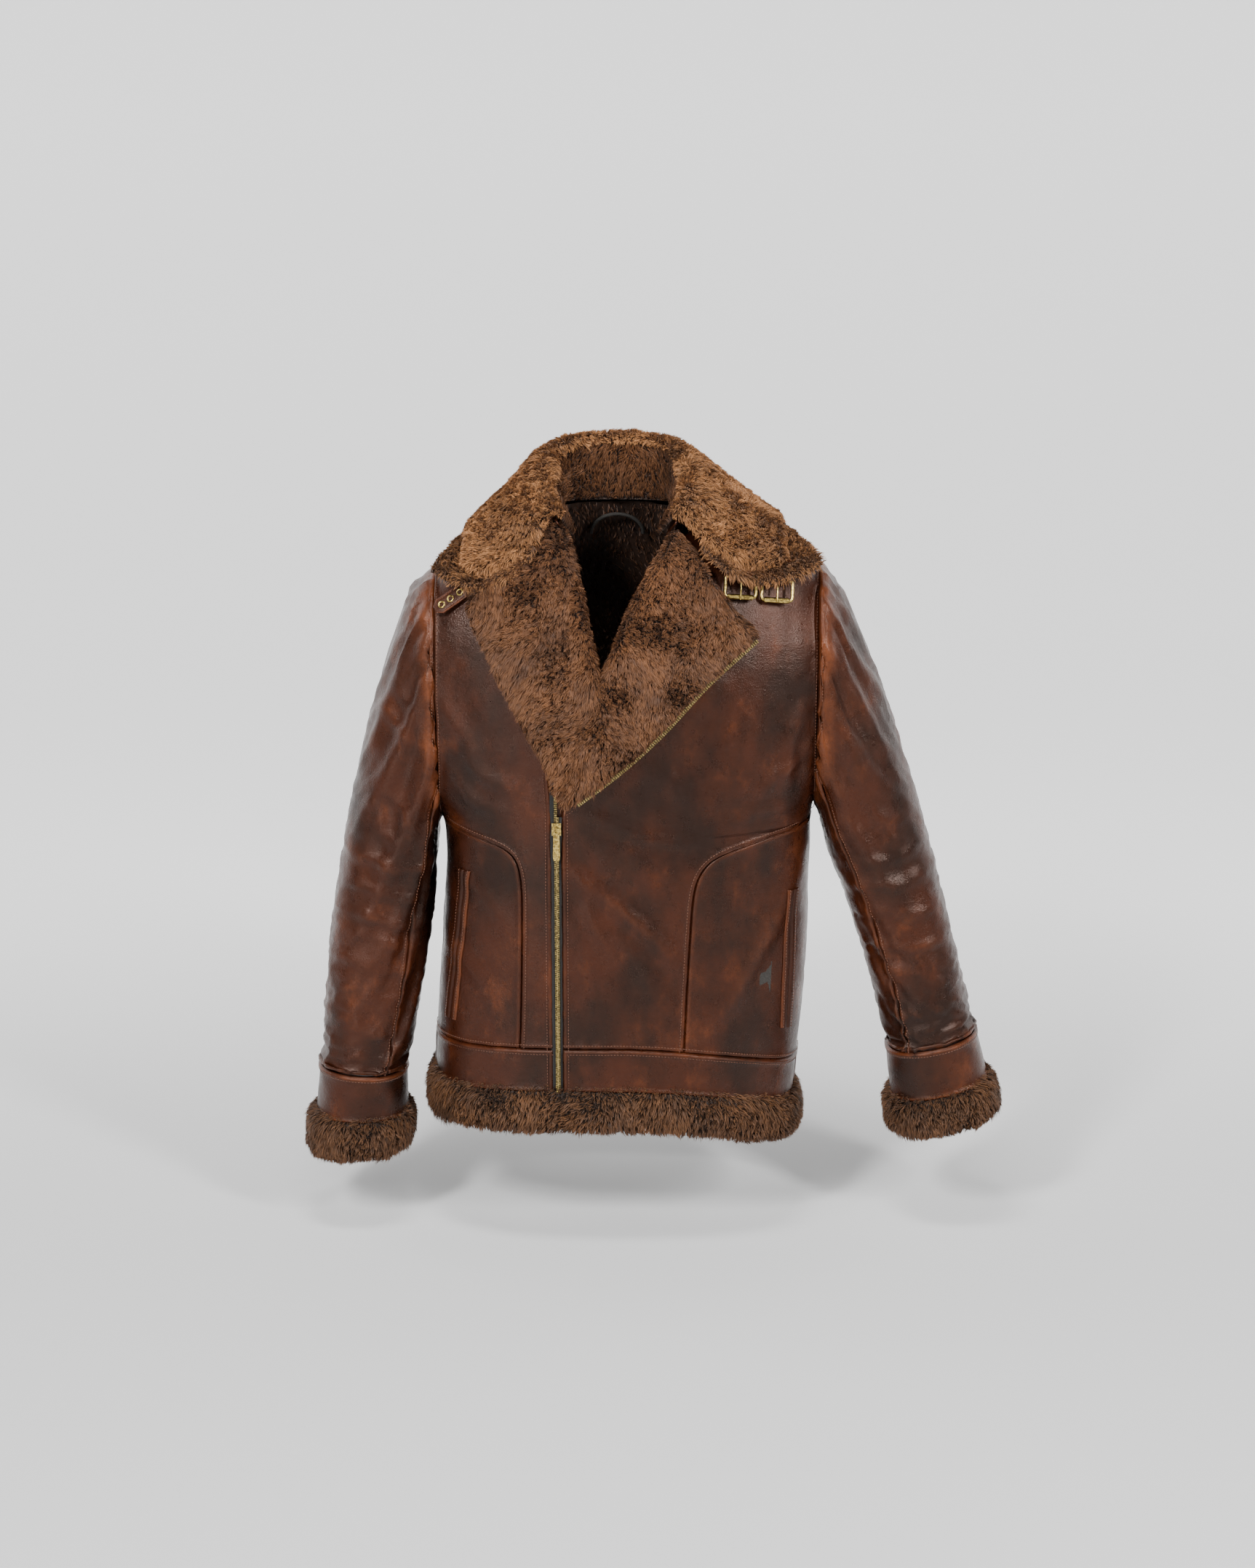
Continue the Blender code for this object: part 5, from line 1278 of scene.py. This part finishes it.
def buckles():
    for word, x, lean in BUCKLES:
        place = collar_front(x, 1) + BUCKLE_DROP
        across, up, out = local_axes(np.array((1, 0.06, -0.07)), (0.1, -1.0, lean))

        def at(points):
            points = np.atleast_2d(np.asarray(points, float))
            return place + points[:, :1] * across + points[:, 1:2] * up + points[:, 2:3] * out

        def brass(part, node, points, faces):
            body = f"buckle_{node}_{word}"
            make_mesh(f"buckle_{word}_{part}", points, faces, BRASS, "brass", body, (body,))

        half, low, turn = BUCKLE_WIDTH / 2, -BUCKLE_HEIGHT, 0.0032
        corners = []
        for cx, cy, start in ((-half + turn, low + turn, 180), (half - turn, low + turn, 270),
                              (half - turn, -turn, 0), (-half + turn, -turn, 90)):
            for step in range(7):
                a = math.radians(start + 90 * step / 6)
                corners.append((cx + turn * math.cos(a), cy + turn * math.sin(a), 0))
        brass("wire", "frame", *tube_arrays(at(corners), BUCKLE_WIRE, 10, True))
        run = np.linspace(-half + 0.0034, half - 0.0034, 9)
        brass("barrel", "roller", *tube_arrays(at([(r, low, 0) for r in run]), ROLLER_RADIUS, 16))
        front = ROLLER_RADIUS + 0.0014
        pin = [(0, 0.002, 0.0), (0, 0.0012, 0.0024), (0, -0.003, front - 0.001), (0, -0.01, front),
               (0, -0.018, front), (0, low, front), (0, low - 0.003, front - 0.0006)]
        pin = resample(np.array(pin), np.linspace(0, 6, 24))
        brass("pin", "prong", *tube_arrays(at(pin), np.linspace(0.0013, 0.0008, 24), 8))
        tilt = math.radians(-38)
        steps = np.radians(np.linspace(-20, -160, 16))
        path = [(0.0031, 0.012), (0.0031, 0.006)]
        path += [(0.0033 * math.cos(a), 0.0033 * math.sin(a)) for a in steps]
        path += [(-0.0031, 0.006), (-0.0031, 0.012)]
        rows = []
        for w in np.linspace(-0.012, 0.012, 9):
            local = [(w, v * math.cos(tilt) - n * math.sin(tilt), v * math.sin(tilt) + n * math.cos(tilt))
                     for n, v in path]
            rows.append(at(local))
        grid = np.stack(rows, 1)
        leather(f"buckle_{word}_keeper", grid, 0.001, "collar_left", ("buckle_chape_" + word,), 0.5)


def strap():
    root = collar_front(STRAP_ROOT, -1) + STRAP_DROP
    angle = float(theta_at(*STRAP_TIP))
    tip = skin(angle, STRAP_TIP[1], STRAP_LIFT)
    out = unit(tip - skin(angle, STRAP_TIP[1]))
    along = unit(tip - root)
    across = unit(np.cross(out, along))
    normal = np.cross(across, -along)
    length = np.linalg.norm(tip - root)
    shares = np.concatenate(([0.0, 0.02], np.linspace(0.06, 0.84, 16), np.linspace(0.86, 1.0, 9)))
    columns = np.linspace(-1, 1, 17)
    rows = []
    for share in shares[::-1]:
        run = share * (length + 0.003)
        half = STRAP_WIDTH / 2 + 0.0006
        left = max(length + 0.003 - run, 0)
        half = min(half, 0.0045 + left * 0.75)
        dome = 0.0006 * (1 - np.abs(columns) ** 6) - 0.0004 * np.exp(-(((np.abs(columns) - 0.72) / 0.1) ** 2))
        centre = root + along * run
        rows.append(centre + np.outer(columns * half, across) + np.outer(dome + 0.0013, normal))
    grid = np.stack(rows)
    normals = normals_of(grid)
    if (normals * normal).sum() < 0:
        grid = grid[:, ::-1]
    wear = np.clip((np.abs(columns) - 0.7) / 0.25, 0, 1) * 0.9 + 0.1
    leather("strap_leather", grid, 0.0026, "eyelet_strap", ("eyelet_strap",), wear)
    rings = Pile()
    for share in (0.36, 0.62, 0.86):
        centre = root + along * share * length + normal * 0.0022
        turn = np.arange(20) * 2 * math.pi / 20
        circle = centre + np.outer(np.cos(turn) * 0.0034, across) + np.outer(np.sin(turn) * 0.0034, along)
        rings.add(*tube_arrays(circle, 0.0011, 8, True))
    rings.make("strap_eyelets", BRASS, "brass", "eyelet_strap")
    lines = []
    for turn in (-1, 1):
        path = [root + along * (0.004 + k * 0.001) + across * turn * 0.0072 + normal * 0.0019
                for k in range(int((length - 0.01) / 0.001))]
        lines.append((np.array(path), np.tile(normal, (len(path), 1))))
    stitches("strap_stitches", lines, "eyelet_strap", 0.003, 0.002, 0.0004)


# ---- stage --------------------------------------------------------------------------------------
def stage():
    """A round studio cove that a camera on any side stands inside."""
    floor_z, radius, bend, tall = -0.86, 5.2, 1.2, 4.5
    turn = np.linspace(0, math.pi / 2, 14)
    profile = [(0.0, floor_z)] + [(radius - bend + bend * math.sin(a), floor_z + bend - bend * math.cos(a))
                                  for a in turn] + [(radius, floor_z + tall)]
    around = np.arange(72) * 2 * math.pi / 72
    grid = np.array([[(r * math.cos(a), r * math.sin(a), z) for a in around] for r, z in profile[1:]])
    points = np.concatenate((grid.reshape(-1, 3), [(0.0, 0.0, floor_z)]))
    centre = np.array([(k, (k + 1) % 72, len(points) - 1) for k in range(72)])[:, ::-1]
    mesh = bpy.data.meshes.new("studio_floor")
    mesh.from_pydata(points.tolist(), [], grid_faces(len(grid), 72, True).tolist() + centre.tolist())
    mesh.shade_smooth()
    floor = linked("studio_floor", mesh)
    g = Graph("studio_floor")
    split = g.nodes.new("ShaderNodeSeparateXYZ")
    g.links.new(g.nodes.new("ShaderNodeTexCoord").outputs["Object"], split.inputs[0])
    glow = g.plus(g.times(g.ramp(split.outputs["Y"], -0.2, 1.4), 0.85), 0.02)
    g.set(Base_Color=(0.62, 0.62, 0.62), Roughness=0.9, Emission_Color=(1, 1, 1), Emission_Strength=glow)
    mesh.materials.append(g.material)


def aim(obj, place, target):
    obj.location = place
    obj.rotation_euler = (Vector(target) - Vector(place)).to_track_quat("-Z", "Y").to_euler()
    return obj


def lights():
    world = bpy.data.worlds.new("studio")
    world.use_nodes = True
    world.node_tree.nodes["Background"].inputs["Color"].default_value = (1, 1, 1, 1)
    world.node_tree.nodes["Background"].inputs["Strength"].default_value = 0.02
    bpy.context.scene.world = world
    for name, place, target, size, power in (
        ("key", (-1.5, -2.6, 1.9), (-0.05, 0, -0.25), (0.55, 0.8), 138),
        ("side", (1.9, -2.1, 1.2), (0.1, 0, -0.3), (0.45, 0.9), 100),
        ("top", (-0.2, -0.7, 2.2), (0, 0, -0.15), (1.0, 0.5), 46),
        ("low", (-1.2, -2.6, -0.4), (-0.1, 0, -0.5), (0.5, 0.8), 14),
        ("rim_right", (-1.9, 0.9, 0.6), (-0.2, 0, -0.3), (0.5, 1.4), 7),
        ("rim_left", (2.0, 1.0, 0.6), (0.3, 0, -0.3), (0.5, 1.4), 7),
    ):
        data = bpy.data.lights.new(name, "AREA")
        data.shape = "RECTANGLE"
        data.size, data.size_y = size
        data.energy = power
        aim(linked(name, data), place, target)


def camera():
    data = bpy.data.cameras.new("camera")
    data.sensor_width = 36
    data.lens = 61.66
    bpy.context.scene.camera = aim(linked("camera", data), (0.012, -3.0, 0.45), (0.012, 0, -0.34))


camera()
lights()
stage()
torso()
for arm_word in ARMS:
    sleeve(arm_word)
    cuff(arm_word)
pockets()
closed_zip()
lapels()
collar()
hem_fur()
insides()
buckles()
strap()
stitches("body_stitches", ALL_STITCHES, "jacket_body")
